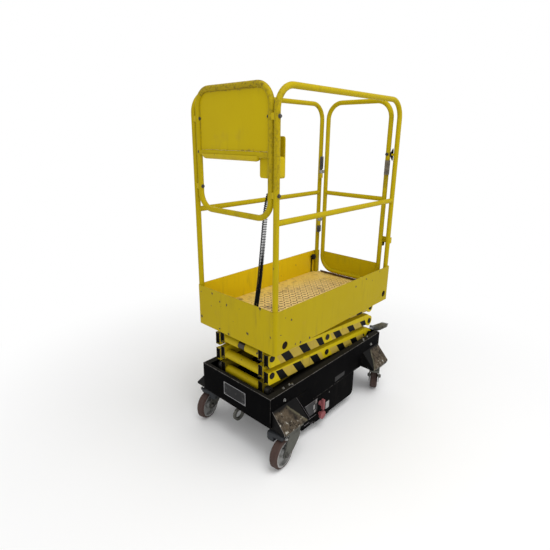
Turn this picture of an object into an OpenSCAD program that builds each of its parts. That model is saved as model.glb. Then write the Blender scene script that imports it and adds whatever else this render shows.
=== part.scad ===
// Push-around scissor lift with a caged platform, three scissor stages and four swivel castors.
// Millimetres, +Z up, ground at z = 0; the sign end is -X, the gate end +X, the key side -Y.

/* [Platform] */
// length of the platform tray
tray_len = 1041; // [900:1:1200]
// width of the platform tray
tray_w = 568; // [520:1:640]
// height of the tray's top edge above the ground
tray_top = 845; // [840:1:900]
// depth of the tray's walls
tray_depth = 221; // [180:1:240]
// depth of the deck below the tray's top edge
deck_drop = 153; // [140:1:156]
// thickness of the tray's sheet steel
sheet_t = 3; // [2:0.5:5]
// diameter of the access holes in the side walls
hole_d = 40; // [20:1:50]
// width of the upright flanges at the tray's open end
flange_w = 25; // [15:1:35]

/* [Rails] */
// diameter of the rail tube
tube_d = 27; // [22:0.5:34]
// height of the top rail's centre above the tray's edge
rail_rise = 950; // [800:1:1000]
// height of the mid rail's centre above the tray's edge
mid_rise = 403; // [300:1:500]
// bend radius of the guard rails
rail_bend = 96; // [60:1:120]
// distance of the front loop's legs from the corner posts
loop_gap = 32.5; // [28:0.5:60]
// height of the front loop's top bar above the tray's edge
loop_rise = 955; // [800:1:1000]
// height of the front loop's mid bar above the tray's edge
loop_mid = 680; // [600:1:720]
// height of the front loop's bottom bar above the tray's edge
loop_low = 414; // [350:1:450]
// bend radius of the front loop
loop_bend = 80; // [50:1:100]
// thickness of the sign panel
sign_t = 2; // [1:0.5:4]

/* [Gate] */
// distance of the gate's legs from the corner posts
gate_gap = 50.5; // [44:0.5:70]
// height of the gate's bottom bar above the deck
gate_lift = 32; // [28:1:80]
// bend radius of the gate's corners
gate_bend = 95; // [60:1:110]
// height of the kick plate
kick_h = 127; // [80:1:140]
// inset of the hinge axis from the end posts
hinge_in = 21; // [18:1:26]
// diameter of the hinge pin
hinge_pin_d = 12; // [8:1:14]

/* [Scissor] */
// horizontal distance of the pivots in the folded frame
arm_span = 930; // [850:1:940]
// x of the fixed pivots
pivot_x = 480; // [460:1:482]
// height of the base pivots
base_z = 365; // [355:1:372]
// rise of one folded stage
stage_h = 95; // [92:1:98]
// depth of an arm
arm_h = 70; // [60:1:72]
// width of an arm
arm_w = 32; // [25:1:34]
// outer face of the outer arms from the middle
outer_y = 200; // [190:1:202]
// outer face of the inner arms from the middle
inner_y = 160; // [150:1:162]
// offset of the end pivots from the arm's middle line
pivot_off = 14; // [8:1:16]
// diameter of the pivot pins
pin_d = 24; // [16:1:28]
// diameter of the cross tubes
cross_d = 50; // [40:1:56]
// diameter of the slide rollers
roller_d = 44; // [36:1:46]

/* [Chassis] */
// length of the chassis
chassis_len = 1049; // [950:1:1080]
// width of the chassis
chassis_w = 522; // [500:1:540]
// height of the chassis' top edge
chassis_top = 383; // [375:1:390]
// height of the chassis' underside
chassis_low = 215; // [210:1:225]
// thickness of the chassis plate
plate_t = 4; // [3:0.5:6]
// width of the chassis' top flanges
lip_w = 36; // [24:1:44]
// reach of the power pack box towards the sign end
pack_front = 270; // [240:1:280]
// reach of the power pack box towards the gate end
pack_rear = 235; // [200:1:260]
// height of the power pack box above the ground
pack_low = 55; // [50:1:90]
// corner radius of the power pack box
pack_r = 28; // [10:1:40]

/* [Castors] */
// x of the swivel axes
castor_x = 430; // [400:1:440]
// y of the swivel axes
castor_y = 300; // [290:1:310]
// height of the castors
castor_h = 205; // [200:1:209]
// wheel diameter
wheel_d = 160; // [140:1:164]
// wheel width
wheel_w = 46; // [40:1:50]
// trail of the wheels behind the swivel axes
trail = 60; // [50:1:62]
// inner end of the castor brackets
bracket_x0 = 330; // [320:1:345]
// outer end of the castor brackets
bracket_x1 = 510; // [505:1:520]
// reach of the castor brackets from the middle
bracket_y = 345; // [345:1:355]
// height of the castor brackets' upper edge
bracket_top = 305; // [290:1:320]

/* [Controls] */
// width of the control box
box_w = 93; // [80:1:110]
// height of the control box
box_h = 90; // [70:1:110]
// depth of the control box
box_d = 55; // [40:1:70]
// outer diameter of the coiled cord
coil_d = 22; // [16:1:26]

/* [Hidden] */
$fn = 48;
clr = 0.1;
rest_gap = 0.2;
deck_z = tray_top - deck_drop;
tray_low = tray_top - tray_depth;
deck_low = deck_z - sheet_t;
tube_r = tube_d / 2;
tray_x = tray_len / 2;
tray_y = tray_w / 2;
wall_y = tray_y - sheet_t;
wall_x = tray_x - sheet_t;
post_x = wall_x - tube_r;
post_y = wall_y - tube_r;
hole_front_in = 69.5;
hole_rear_in = 39.5;
hole_front_up = 36;
hole_rear_up = 46;
hole_front_x = hole_front_in - tray_x;
hole_rear_x = tray_x - hole_rear_in;
hole_front_z = tray_low + hole_front_up;
hole_rear_z = tray_low + hole_rear_up;
rail_z = tray_top + rail_rise;
mid_z = tray_top + mid_rise;
loop_top_z = tray_top + loop_rise;
loop_mid_z = tray_top + loop_mid;
loop_low_z = tray_top + loop_low;
loop_y = post_y - loop_gap;
gate_y = post_y - gate_gap;
gate_low_z = deck_z + gate_lift;
gate_mid_z = mid_z + sheet_t;
hinge_x = post_x - hinge_in;
hinge_y = (post_y + gate_y) / 2;
hinge_low = 185;
hinge_high = 500;
hinge_zs = [tray_top + hinge_low, tray_top + hinge_high];
knuckle_h = 30;
knuckle_r = hinge_pin_d / 2 + 5;
knuckle_gap = 1;
strap_h = 20;
strap_t = 8;
clamp_low = 520;
clamp_high = 830;
clamp_zs = [tray_top + clamp_low, tray_top + clamp_high];
clamp_h = 26;
clamp_x = 10;
stop_up = 140;
stop_z = tray_top + stop_up;
stop_h = 36;
stop_in = 9;
stop_out = 29;
stop_t = 8;
latch_up = 550;
latch_z = tray_top + latch_up;
latch_h = 80;
latch_x = 30;
latch_w = 18;
front_x = pivot_x - arm_span;
mid_x = pivot_x - arm_span / 2;
top_z = base_z + 3 * stage_h;
pin_r = pin_d / 2;
cross_r = cross_d / 2;
roller_r = roller_d / 2;
inner_in = inner_y - arm_w;
outer_in = outer_y - arm_w;
half_h = arm_h / 2;
edge_in = half_h - pivot_off;
edge_out = half_h + pivot_off;
end_in = 1;
end_r = half_h - end_in;
end_cut = 18;
end_over = 26;
end_open = 10;
end_block = 50;
arm_wall = 4;
bush_wall = 6;
bush_r = pin_r + bush_wall;
head_t = 4;
head_rim = 5;
head_r = pin_r + head_rim;
pin_end = outer_y + rest_gap;
roller_w = 24;
roller_gap = 6;
roller_y0 = inner_y + roller_gap;
deck_roller_gap = 5;
deck_roller_y0 = outer_y + deck_roller_gap;
rail_side = 2;
rail_y0 = deck_roller_y0 - rail_side;
rail_w = roller_w + 2 * rail_side;
slide_share = 0.65;
rail_over = 40;
rail_x1 = front_x + slide_share * arm_span + rail_over;
lug_x = 25;
lug_r = 22;
lug_t = 8;
deck_lug_gap = 4;
deck_lug_y0 = outer_in + deck_lug_gap;
deck_lug_w = arm_w - 2 * deck_lug_gap;
track_z = base_z - roller_r;
track_t = 8;
track_over = 30;
track_x0 = front_x - track_over;
track_x1 = front_x + slide_share * arm_span + track_over;
track_gap = 4;
track_y0 = inner_y + track_gap;
track_w = 40;
base_lug_gap = 4;
base_lug_y0 = outer_y + base_lug_gap;
eye_w = 44;
eye_gap = 25;
eye_r = 24;
barrel_r = 30;
rod_r = 16;
ram_len = sqrt(arm_span * arm_span + 4 * stage_h * stage_h);
ram_tilt = atan2(2 * stage_h, arm_span);
gland_back = 44;
barrel_len = ram_len - gland_back;
barrel_start = 20;
bore_start = 40;
rod_tail = 46;
chassis_x = chassis_len / 2;
chassis_y = chassis_w / 2;
end_lip = 20;
pack_t = 3;
battery_gap = 46;
battery_rear = 125;
battery_share = 0.84;
battery_y = battery_share * chassis_y;
battery_x0 = battery_gap - pack_front;
battery_x1 = pack_rear - battery_rear;
battery_h = battery_share * (chassis_low - pack_low);
bracket_under = 36;
bracket_foot = chassis_y - bracket_under;
mount_t = 8;
mount_x = 67;
mount_y = 45;
race_r = 38;
race_h = 10;
crown_h = 12;
crown_x0 = -70;
leg_in = 10;
leg_drop = 44;
crown_x1 = 38;
swivel_gap = 0.5;
crown_z = castor_h - mount_t - race_h - swivel_gap;
fork_t = 5;
fork_gap = 3.5;
fork_in = wheel_w / 2 + fork_gap;
fork_out = fork_in + fork_t;
boss_r = 22;
axle_r = 8;
nut_t = 6;
axle_end = fork_out + nut_t;
nut_r = 13;
wheel_z = wheel_d / 2;
wheel_r = wheel_d / 2;
tread_t = 11;
rim_r = wheel_r - tread_t;
rim_web = 7;
rim_lip = 8;
hub_r = 22;
hub_in = 1;
hub_w = wheel_w - 2 * hub_in;
tyre_round = 8;
box_in = 17.5;
box_up = 585;
box_y = -(post_y - box_in - box_w / 2);
box_z = tray_top + box_up;
back_t = 3;
face_h = 171;
face_t = 5;
box_round = 11;
box_x = -post_x + tube_r + back_t;
gland_r = 13;
gland_h = 14;
coil_r = coil_d / 2;
coil_top = [-445, -180, box_z - gland_h - rest_gap];
coil_bend1 = [-445, -180, 1370];
coil_mid1 = [-452, -172, 1200];
coil_mid2 = [-474, -142, 900];
coil_bend2 = [-484, -115, 770];
coil_foot = [-484, -115, deck_z + gland_h + rest_gap];
data_w = 170;
data_h = 78;
data_up = 85;
data_z = chassis_low + data_up;
data_t = 1.5;
panel_back = 330;
panel_x = pack_rear - panel_back;
key_fore = 22;
key_x = panel_x - key_fore;
panel_w = 150;
panel_drop = 90;
panel_z = chassis_low - panel_drop;
panel_h = 150;
panel_t = 3;
key_up = 40;
key_z = panel_z + key_up;
key_r = 13;
key_len = 62;
key_out = 16;
button_down = 30;
stop_btn_z = panel_z - button_down;
stop_btn_r = 24;
stem_r = 11;
btn_h = 12;
tow_in = 27.5;
tow_x = tow_in - chassis_x;
tow_r = 37;
tow_hole = 23;
tow_bar = 7;
tow_drop = 55;
tow_z = chassis_low - tow_drop;
notch_x = max(flange_w, 2 * tube_r) + rest_gap;
notch_y = max(flange_w, 2 * tube_r) + rest_gap;
lever_in_y = 76;
lever_drop = 11;
lever_y = lever_in_y - chassis_y;
lever_z = chassis_top - lever_drop;
lever_t = 10;
lever_len = 40;
lever_r = 12;
pedal_shape = [
  [17, -17], [17, 18], [0, 20], [-68, 66], [-112, 71], [-107, 45], [-65, 10], [-20, -17]
];
yaw_fr = 187.4;
yaw_fl = 195;
yaw_rr = 27;
yaw_rl = 0;

yellow = [0.86, 0.72, 0.05];
black = [0.08, 0.08, 0.08];
steel = [0.62, 0.63, 0.64];
red = [0.75, 0.15, 0.15];
tread = [0.42, 0.27, 0.24];

// box between two corners
module block(a, b) {
  translate(a) cube(b - a);
}

// round bar along Y between two y values
module bar_y(x, z, y0, y1, r) {
  translate([x, y0, z]) rotate([-90, 0, 0]) cylinder(r = r, h = y1 - y0);
}

// both sides of the object
module both() {
  children();
  mirror([0, 1, 0]) children();
}

// round bar between two points
module rod_between(a, b, r) {
  d = b - a;
  translate(a)
    rotate([0, acos(d[2] / norm(d)), atan2(d[1], d[0])])
      cylinder(r = r, h = norm(d));
}

// flat shape in the XZ plane given depth from y0 to y1
module plate_xz(y0, y1) {
  translate([0, y1, 0]) rotate([90, 0, 0]) linear_extrude(height = y1 - y0) children();
}

// quarter bend of a tube in its own plane
module bend(radius) {
  rotate_extrude(angle = 90) translate([radius, 0]) circle(r = tube_r);
}

// closed tube loop in the YZ plane at x, half width hy, from z0 to z1
module tube_loop(x, hy, z0, z1, radius) {
  span_y = hy - radius;
  translate([x, 0, 0]) {
    for (s = [-1, 1])
      translate([0, s * hy, z0 + radius]) cylinder(r = tube_r, h = z1 - z0 - 2 * radius);
    for (z = [z0, z1])
      bar_y(0, z, -span_y, span_y, tube_r);
    translate([0, span_y, z1 - radius]) rotate([90, 0, 90]) bend(radius);
    translate([0, -span_y, z1 - radius]) rotate([90, -90, 90]) bend(radius);
    translate([0, -span_y, z0 + radius]) rotate([90, 180, 90]) bend(radius);
    translate([0, span_y, z0 + radius]) rotate([90, 90, 90]) bend(radius);
  }
}

// plate inside a tube loop in the YZ plane, with its corners round at z1
module loop_plate(x, hy, z0, z1, radius) {
  side = z1 < z0 ? -1 : 1;
  far = z1 - side * radius;
  translate([x - sign_t / 2, 0, 0]) rotate([90, 0, 90]) linear_extrude(height = sign_t)
    intersection() {
      translate([-hy, min(z0, z1)]) square([2 * hy, abs(z1 - z0)]);
      union() {
        translate([-hy + radius, min(far, z1)]) square([2 * (hy - radius), radius]);
        translate([-hy, min(z0, far)]) square([2 * hy, abs(z0 - far)]);
        for (y = [-hy + radius, hy - radius])
          translate([y, far]) circle(r = radius);
      }
    }
}

// guard rail on the left: bent tube with a mid rail
module guard_rail() {
  translate([0, post_y, 0]) {
    for (x = [-post_x, post_x])
      translate([x, 0, deck_z]) cylinder(r = tube_r, h = rail_z - rail_bend - deck_z);
    translate([-post_x + rail_bend, 0, rail_z]) rotate([0, 90, 0])
      cylinder(r = tube_r, h = 2 * (post_x - rail_bend));
    translate([-post_x, 0, mid_z]) rotate([0, 90, 0]) cylinder(r = tube_r, h = 2 * post_x);
    translate([post_x - rail_bend, 0, rail_z - rail_bend]) rotate([90, 0, 0]) bend(rail_bend);
    translate([-post_x + rail_bend, 0, rail_z - rail_bend]) rotate([90, -90, 0]) bend(rail_bend);
  }
}

// side view of an arm: lower pivot at the origin, upper pivot at arm_span, stage_h
module arm_shape() {
  rise = (stage_h - 2 * pivot_off) / arm_span;
  mid = pivot_off - rise * end_over;
  difference() {
    union() {
      polygon([
        [-end_over, mid - half_h], [-end_over, mid + half_h],
        [arm_span, stage_h + edge_in], [arm_span, stage_h - end_r],
        [arm_span - end_cut, stage_h - edge_out - rise * end_cut]
      ]);
      translate([arm_span, stage_h]) circle(r = end_r);
    }
    circle(r = pin_r + clr);
    translate([arm_span, stage_h]) circle(r = pin_r + clr);
    translate([arm_span / 2, stage_h / 2]) circle(r = pin_r + clr);
  }
}

// hollow of an arm between its end blocks, round the middle bush
module arm_hollow() {
  rise = (stage_h - 2 * pivot_off) / arm_span;
  depth = half_h - arm_wall;
  far = arm_span - end_block;
  difference() {
    polygon([
      [end_block, pivot_off + rise * end_block - depth],
      [end_block, pivot_off + rise * end_block + depth],
      [far, pivot_off + rise * far + depth], [far, pivot_off + rise * far - depth]
    ]);
    translate([arm_span / 2, stage_h / 2]) circle(r = bush_r);
  }
}

// hollow box-section arm between y0 and y1, open at its square end
module arm(y0, y1) {
  depth = half_h - arm_wall;
  difference() {
    plate_xz(y0, y1) arm_shape();
    plate_xz(y0 + arm_wall, y1 - arm_wall) {
      arm_hollow();
      translate([-end_over - arm_wall, pivot_off - depth])
        square([end_open + arm_wall, 2 * depth]);
    }
  }
}

// pair of outer arms of a stage: high at the sliding end
module outer_arms(k) {
  color(yellow) both()
    translate([front_x, 0, base_z + k * stage_h]) mirror([0, 0, 1]) arm(outer_in, outer_y);
}

// pair of inner arms of a stage: low at the sliding end
module inner_arms(k) {
  color(yellow) both()
    translate([front_x, 0, base_z + (k - 1) * stage_h]) arm(inner_in, inner_y);
}

// pivot pin with a head outside the outer arm
module pivot_pin(x, z) {
  bar_y(x, z, inner_in - rest_gap, pin_end, pin_r);
  bar_y(x, z, pin_end, pin_end + head_t, head_r);
}

// cross tube with its pins, solid or parted in the middle
module cross_tube(x, z, parted) {
  both() {
    bar_y(x, z, parted ? eye_gap : 0, inner_in - rest_gap, cross_r);
    pivot_pin(x, z);
  }
}

// tubes and pins that tie the inner arms of a stage
module inner_tubes(k, parted) {
  low = base_z + (k - 1) * stage_h;
  color(yellow) {
    cross_tube(front_x, low, parted);
    cross_tube(pivot_x, low + stage_h, false);
    both() pivot_pin(mid_x, low + stage_h / 2);
  }
}

// black folded chassis with top flanges, open above
module chassis_frame() {
  color(black) difference() {
    block([-chassis_x, -chassis_y, chassis_low], [chassis_x, chassis_y, chassis_top]);
    block([-chassis_x + plate_t, -chassis_y + plate_t, chassis_low + plate_t],
          [chassis_x - plate_t, chassis_y - plate_t, chassis_top - plate_t]);
    block([-chassis_x + end_lip, -chassis_y + lip_w, chassis_top - 2 * plate_t],
          [chassis_x - plate_t, chassis_y - lip_w, chassis_top + plate_t]);
  }
}

// side view of the power pack box, shrunk by t
module pack_shape(t) {
  x0 = t - pack_front;
  x1 = pack_rear - t;
  z0 = pack_low + t;
  z1 = chassis_low - t;
  translate([x0, z0]) square([x1 - x0 - pack_r, z1 - z0]);
  translate([x0, z0 + pack_r]) square([x1 - x0, z1 - z0 - pack_r]);
  translate([x1 - pack_r, z0 + pack_r]) circle(r = pack_r);
}

// power pack box under the chassis
module power_pack_box() {
  color(black) difference() {
    plate_xz(-chassis_y, chassis_y) pack_shape(0);
    plate_xz(-chassis_y + pack_t, chassis_y - pack_t) pack_shape(pack_t);
  }
}

// batteries on the floor of the box
module battery_block() {
  color(steel)
    block([battery_x0, -battery_y, pack_low + pack_t],
          [battery_x1, battery_y, pack_low + pack_t + battery_h]);
}

// sloping castor housings along the chassis sides
module castor_brackets() {
  color(black)
    for (x = [-bracket_x1, bracket_x0]) both()
      translate([x, 0, 0]) rotate([90, 0, 90]) linear_extrude(height = bracket_x1 - bracket_x0)
        polygon([
          [chassis_y, bracket_top], [bracket_y, chassis_low], [bracket_y, castor_h],
          [bracket_foot, castor_h], [bracket_foot, chassis_low], [chassis_y, chassis_low]
        ]);
}

// castor top plates with their races
module castor_plates() {
  color(steel)
    for (x = [-castor_x, castor_x], y = [-castor_y, castor_y])
      translate([x, y, 0]) {
        block([-mount_x, -mount_y, castor_h - mount_t], [mount_x, mount_y, castor_h]);
        translate([0, 0, castor_h - mount_t - race_h]) cylinder(r = race_r, h = race_h);
      }
}

// roller tracks of the sliding end and lugs of the fixed pivots
module base_mounts() {
  floor_z = chassis_low + plate_t;
  color(black) both() {
    block([track_x0, track_y0, track_z - track_t], [track_x1, track_y0 + track_w, track_z]);
    block([track_x0, track_y0 + track_w - track_t, floor_z],
          [track_x1, track_y0 + track_w, track_z - track_t]);
    plate_xz(base_lug_y0, base_lug_y0 + lug_t)
      difference() {
        union() {
          translate([pivot_x - lug_x, floor_z]) square([2 * lug_x, base_z - floor_z]);
          translate([pivot_x, base_z]) circle(r = lug_r);
        }
        translate([pivot_x, base_z]) circle(r = pin_r + clr);
      }
  }
}

// shaft of the fixed pivots
module base_shaft() {
  end_y = base_lug_y0 + lug_t + head_t;
  color(steel) bar_y(pivot_x, base_z, -end_y, end_y, pin_r);
}

// blank data plate on the front of the chassis
module data_plate() {
  color(steel)
    block([-chassis_x - data_t, -data_w / 2, data_z - data_h / 2],
          [-chassis_x, data_w / 2, data_z + data_h / 2]);
}

// blank panel of the base controls
module control_panel() {
  color(steel)
    block([panel_x - panel_w / 2, -chassis_y - panel_t, panel_z - panel_h / 2],
          [panel_x + panel_w / 2, -chassis_y, panel_z + panel_h / 2]);
}

// red isolator key
module isolator_key() {
  color(red) {
    bar_y(key_x, key_z, -chassis_y - panel_t - key_out, -chassis_y - panel_t, key_r);
    plate_xz(-chassis_y - panel_t - 2 * key_out, -chassis_y - panel_t - key_out)
      translate([key_x - key_r / 2, key_z - key_len / 2]) square([key_r, key_len]);
  }
}

// red stop button
module stop_button() {
  face = -chassis_y - panel_t;
  color(red) {
    bar_y(key_x, stop_btn_z, face - key_out, face, stem_r);
    bar_y(key_x, stop_btn_z, face - key_out - btn_h, face - key_out, stop_btn_r);
  }
}

// ring under the front of the chassis
module tow_eye() {
  color(steel) {
    difference() {
      bar_y(tow_x, tow_z, -tow_bar, tow_bar, tow_r);
      bar_y(tow_x, tow_z, -tow_r, tow_r, tow_hole);
    }
    translate([tow_x, 0, tow_z + tow_r - tow_bar / 2])
      cylinder(r = tow_bar, h = chassis_low - tow_z - tow_r + tow_bar / 2);
  }
}

// pedal at the gate end of the chassis
module brake_lever() {
  color(steel) translate([chassis_x, 0, 0]) rotate([90, 0, 90]) {
    translate([lever_y, lever_z]) cylinder(r = lever_r, h = lever_len);
    translate([lever_y, lever_z, lever_len - lever_t])
      linear_extrude(height = lever_t) polygon(pedal_shape);
  }
}

// rollers of the base slide
module base_rollers() {
  color(steel) both() difference() {
    bar_y(front_x, base_z, roller_y0, roller_y0 + roller_w, roller_r);
    bar_y(front_x, base_z, roller_y0 - roller_w, roller_y0 + 2 * roller_w, pin_r + clr);
  }
}

// axle and rollers that carry the deck's sliding end
module deck_rollers() {
  color(steel) both() {
    bar_y(front_x, top_z, 0, deck_roller_y0, pin_r);
    bar_y(front_x, top_z, deck_roller_y0, deck_roller_y0 + roller_w, roller_r);
  }
}

// lift cylinder's barrel with its base eye
module ram_barrel() {
  color(black)
    translate([pivot_x, 0, base_z]) rotate([0, ram_tilt - 90, 0]) difference() {
      union() {
        translate([0, 0, barrel_start]) cylinder(r = barrel_r, h = barrel_len - barrel_start);
        rotate([90, 0, 0]) cylinder(r = barrel_r, h = eye_w, center = true);
      }
      translate([0, 0, bore_start]) cylinder(r = rod_r + clr, h = barrel_len);
      rotate([90, 0, 0]) cylinder(r = pin_r + clr, h = 2 * eye_w, center = true);
    }
}

// lift cylinder's rod with its eye
module ram_rod() {
  color(steel)
    translate([pivot_x, 0, base_z]) rotate([0, ram_tilt - 90, 0]) difference() {
      union() {
        translate([0, 0, rod_tail]) cylinder(r = rod_r, h = ram_len - rod_tail);
        translate([0, 0, ram_len]) rotate([90, 0, 0])
          cylinder(r = eye_r, h = eye_w, center = true);
      }
      translate([0, 0, ram_len]) rotate([90, 0, 0])
        cylinder(r = pin_r + clr, h = 2 * eye_w, center = true);
    }
}

// deck sheet with its rear edge folded down
module deck() {
  color(yellow) {
    difference() {
      block([-wall_x, -wall_y, deck_low], [tray_x, wall_y, deck_z]);
      for (x = [-tray_x, wall_x - notch_x]) both()
        block([x, wall_y - notch_y, tray_low], [x + notch_x + sheet_t, tray_y, tray_top]);
      translate([coil_foot[0], coil_foot[1], tray_low])
        cylinder(r = gland_r + rest_gap, h = tray_top - tray_low);
    }
    block([wall_x, -wall_y, tray_low], [tray_x, wall_y, deck_low]);
  }
}

// front wall of the tray between its round corners
module tray_front() {
  color(yellow) block([-tray_x, -post_y, tray_low], [-wall_x, post_y, tray_top]);
}

// left wall of the tray with its end flange and the round corner about the front post
module tray_side() {
  color(yellow) {
    difference() {
      block([-post_x, wall_y, tray_low], [tray_x, tray_y, tray_top]);
      bar_y(hole_front_x, hole_front_z, 0, tray_w, hole_d / 2);
      bar_y(hole_rear_x, hole_rear_z, 0, tray_w, hole_d / 2);
    }
    block([wall_x, wall_y - flange_w, deck_z], [tray_x, wall_y, tray_top]);
    translate([-post_x, post_y, tray_low]) rotate([0, 0, 90])
      rotate_extrude(angle = 90) translate([tube_r + rest_gap, 0])
        square([sheet_t - rest_gap, tray_top - tray_low]);
  }
}

module tray_left() {
  tray_side();
}

module tray_right() {
  mirror([0, 1, 0]) tray_side();
}

// rails under the deck for the rollers
module deck_rails() {
  color(yellow) both()
    block([track_x0, rail_y0, top_z + roller_r], [rail_x1, rail_y0 + rail_w, deck_low]);
}

// lugs under the deck for the fixed pivots
module deck_lugs() {
  color(yellow) both()
    plate_xz(deck_lug_y0, deck_lug_y0 + deck_lug_w)
      difference() {
        union() {
          translate([pivot_x - lug_r, top_z]) square([2 * lug_r, deck_low - top_z]);
          translate([pivot_x, top_z]) circle(r = lug_r);
        }
        translate([pivot_x, top_z]) circle(r = pin_r + clr);
      }
}

module guard_rail_left() {
  color(yellow) guard_rail();
}

module guard_rail_right() {
  color(yellow) mirror([0, 1, 0]) guard_rail();
}

// front loop with its mid bar
module front_loop() {
  color(yellow) {
    tube_loop(-post_x, loop_y, loop_low_z, loop_top_z, loop_bend);
    bar_y(-post_x, loop_mid_z, -loop_y, loop_y, tube_r);
  }
}

// blank sign panel in the front loop
module sign_panel() {
  color(yellow)
    loop_plate(-post_x, loop_y - tube_r - rest_gap, loop_mid_z + tube_r + rest_gap,
               loop_top_z - tube_r - rest_gap, loop_bend - tube_r - rest_gap);
}

// clamps between the front loop and the corner posts
module loop_clamps() {
  color(steel) both()
    for (z = clamp_zs)
      difference() {
        block([-post_x - clamp_x, loop_y, z - clamp_h / 2], [-post_x + clamp_x, post_y, z + clamp_h / 2]);
        for (y = [loop_y, post_y])
          translate([-post_x, y, z - clamp_h]) cylinder(r = tube_r, h = 2 * clamp_h);
      }
}

// plate across X with round corners
module corner_plate(x0, x1, hy, z0, z1, radius) {
  translate([x0, 0, 0]) rotate([90, 0, 90]) linear_extrude(height = x1 - x0)
    union() {
      translate([-hy + radius, z0]) square([2 * (hy - radius), z1 - z0]);
      translate([-hy, z0 + radius]) square([2 * hy, z1 - z0 - 2 * radius]);
      for (y = [-hy + radius, hy - radius], z = [z0 + radius, z1 - radius])
        translate([y, z]) circle(r = radius);
    }
}

// back plate of the control box, on the loop's leg
module control_bracket() {
  color(yellow) translate([0, box_y, 0])
    corner_plate(box_x - back_t, box_x, box_w / 2, box_z, box_z + box_h, box_round);
}

// control box with its taller face plate
module control_box() {
  far = box_x + box_d;
  color(yellow) translate([0, box_y, 0]) {
    corner_plate(box_x, far - face_t, box_w / 2, box_z, box_z + box_h, box_round);
    corner_plate(far - face_t, far, box_w / 2, box_z, box_z + face_h, box_round);
  }
}

// glands at both ends of the cord
module cord_glands() {
  color(black) {
    translate([coil_top[0], coil_top[1], box_z - gland_h]) cylinder(r = gland_r, h = gland_h);
    translate([coil_foot[0], coil_foot[1], deck_low]) cylinder(r = gland_r, h = gland_h + sheet_t);
  }
}

// coiled cord from the control box to the deck
module coiled_cord() {
  route = [coil_top, coil_bend1, coil_mid1, coil_mid2, coil_bend2, coil_foot];
  color(black) {
    for (i = [0 : len(route) - 2]) rod_between(route[i], route[i + 1], coil_r, $fn = 12);
    for (i = [1 : len(route) - 2]) translate(route[i]) sphere(r = coil_r, $fn = 12);
  }
}

// clamps on the corner post with the gate's knuckles
module hinge_clamps() {
  color(yellow)
    for (z = hinge_zs)
      difference() {
        union() {
          translate([hinge_x, hinge_y, z]) cylinder(r = knuckle_r, h = knuckle_h);
          translate([hinge_x, hinge_y, z])
            rotate([0, 0, atan2(post_y - hinge_y, post_x - hinge_x)])
              translate([0, -strap_t / 2, 0])
                cube([norm([post_x - hinge_x, post_y - hinge_y]), strap_t, knuckle_h]);
        }
        translate([post_x, post_y, z - knuckle_h]) cylinder(r = tube_r, h = 3 * knuckle_h);
        translate([hinge_x, hinge_y, z - knuckle_h])
          cylinder(r = hinge_pin_d / 2 + clr, h = 3 * knuckle_h);
      }
}

// stop of the gate on the other corner post
module gate_stop() {
  color(yellow) difference() {
    union() {
      block([post_x + stop_in, -post_y - stop_in, stop_z],
            [post_x + stop_out, -post_y + stop_in, stop_z + stop_h]);
      block([post_x + stop_out - stop_t, -post_y - stop_in, stop_z],
            [post_x + stop_out, -gate_y + stop_in, stop_z + stop_h]);
    }
    translate([post_x, -post_y, stop_z - stop_h]) cylinder(r = tube_r, h = 3 * stop_h);
  }
}

// gate loop with its mid bar
module gate_loop() {
  color(yellow) {
    tube_loop(post_x, gate_y, gate_low_z, loop_top_z, gate_bend);
    bar_y(post_x, gate_mid_z, -gate_y, gate_y, tube_r);
  }
}

// kick plate in the foot of the gate
module kick_plate() {
  color(yellow)
    loop_plate(post_x, gate_y - tube_r - rest_gap, gate_low_z + kick_h,
               gate_low_z + tube_r + rest_gap, gate_bend - tube_r - rest_gap);
}

// hinge straps and pins on the gate
module gate_hinges() {
  color(steel)
    for (z = hinge_zs)
      difference() {
        union() {
          translate([hinge_x, hinge_y, z]) cylinder(r = hinge_pin_d / 2, h = knuckle_h + strap_h);
          translate([hinge_x, hinge_y, z + knuckle_h + knuckle_gap]) {
            cylinder(r = knuckle_r, h = strap_h);
            rotate([0, 0, atan2(gate_y - hinge_y, post_x - hinge_x)])
              translate([0, -strap_t / 2, 0])
                cube([norm([post_x - hinge_x, gate_y - hinge_y]), strap_t, strap_h]);
          }
        }
        translate([post_x, gate_y, z - knuckle_h]) cylinder(r = tube_r, h = 4 * knuckle_h);
      }
}

// latch block on the gate's free leg
module gate_latch() {
  color(black)
    difference() {
      block([post_x - latch_x, -gate_y - latch_w, latch_z], [post_x, -gate_y, latch_z + latch_h]);
      translate([post_x, -gate_y, latch_z - latch_h]) cylinder(r = tube_r, h = 3 * latch_h);
    }
}

// place on a castor's swivel axis, turned as it stands
module at_castor(x, y, yaw) {
  translate([x, y, 0]) rotate([0, 0, yaw]) children();
}

// castor fork with its axle
module fork() {
  color(steel) {
    block([crown_x0, -fork_out, crown_z - crown_h], [crown_x1, fork_out, crown_z]);
    both() {
      plate_xz(fork_in, fork_out) {
        polygon([
          [crown_x0, crown_z - crown_h], [crown_x1, crown_z - crown_h],
          [trail + boss_r, wheel_z], [trail - boss_r, wheel_z],
          [crown_x0 + leg_in, crown_z - crown_h - leg_drop]
        ]);
        translate([trail, wheel_z]) circle(r = boss_r);
      }
      bar_y(trail, wheel_z, 0, axle_end, axle_r);
      bar_y(trail, wheel_z, fork_out, axle_end, nut_r);
    }
  }
}

// spin a half section about a wheel's axle
module spun() {
  translate([trail, 0, wheel_z]) rotate([90, 0, 0]) rotate_extrude($fn = 72) children();
}

// cast wheel centre
module rim() {
  color(steel) spun() {
    translate([axle_r + clr, -hub_w / 2]) square([hub_r - axle_r - clr, hub_w]);
    translate([hub_r, -rim_web / 2]) square([rim_r - hub_r, rim_web]);
    translate([rim_r - rim_lip, -hub_w / 2]) square([rim_lip, hub_w]);
  }
}

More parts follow.
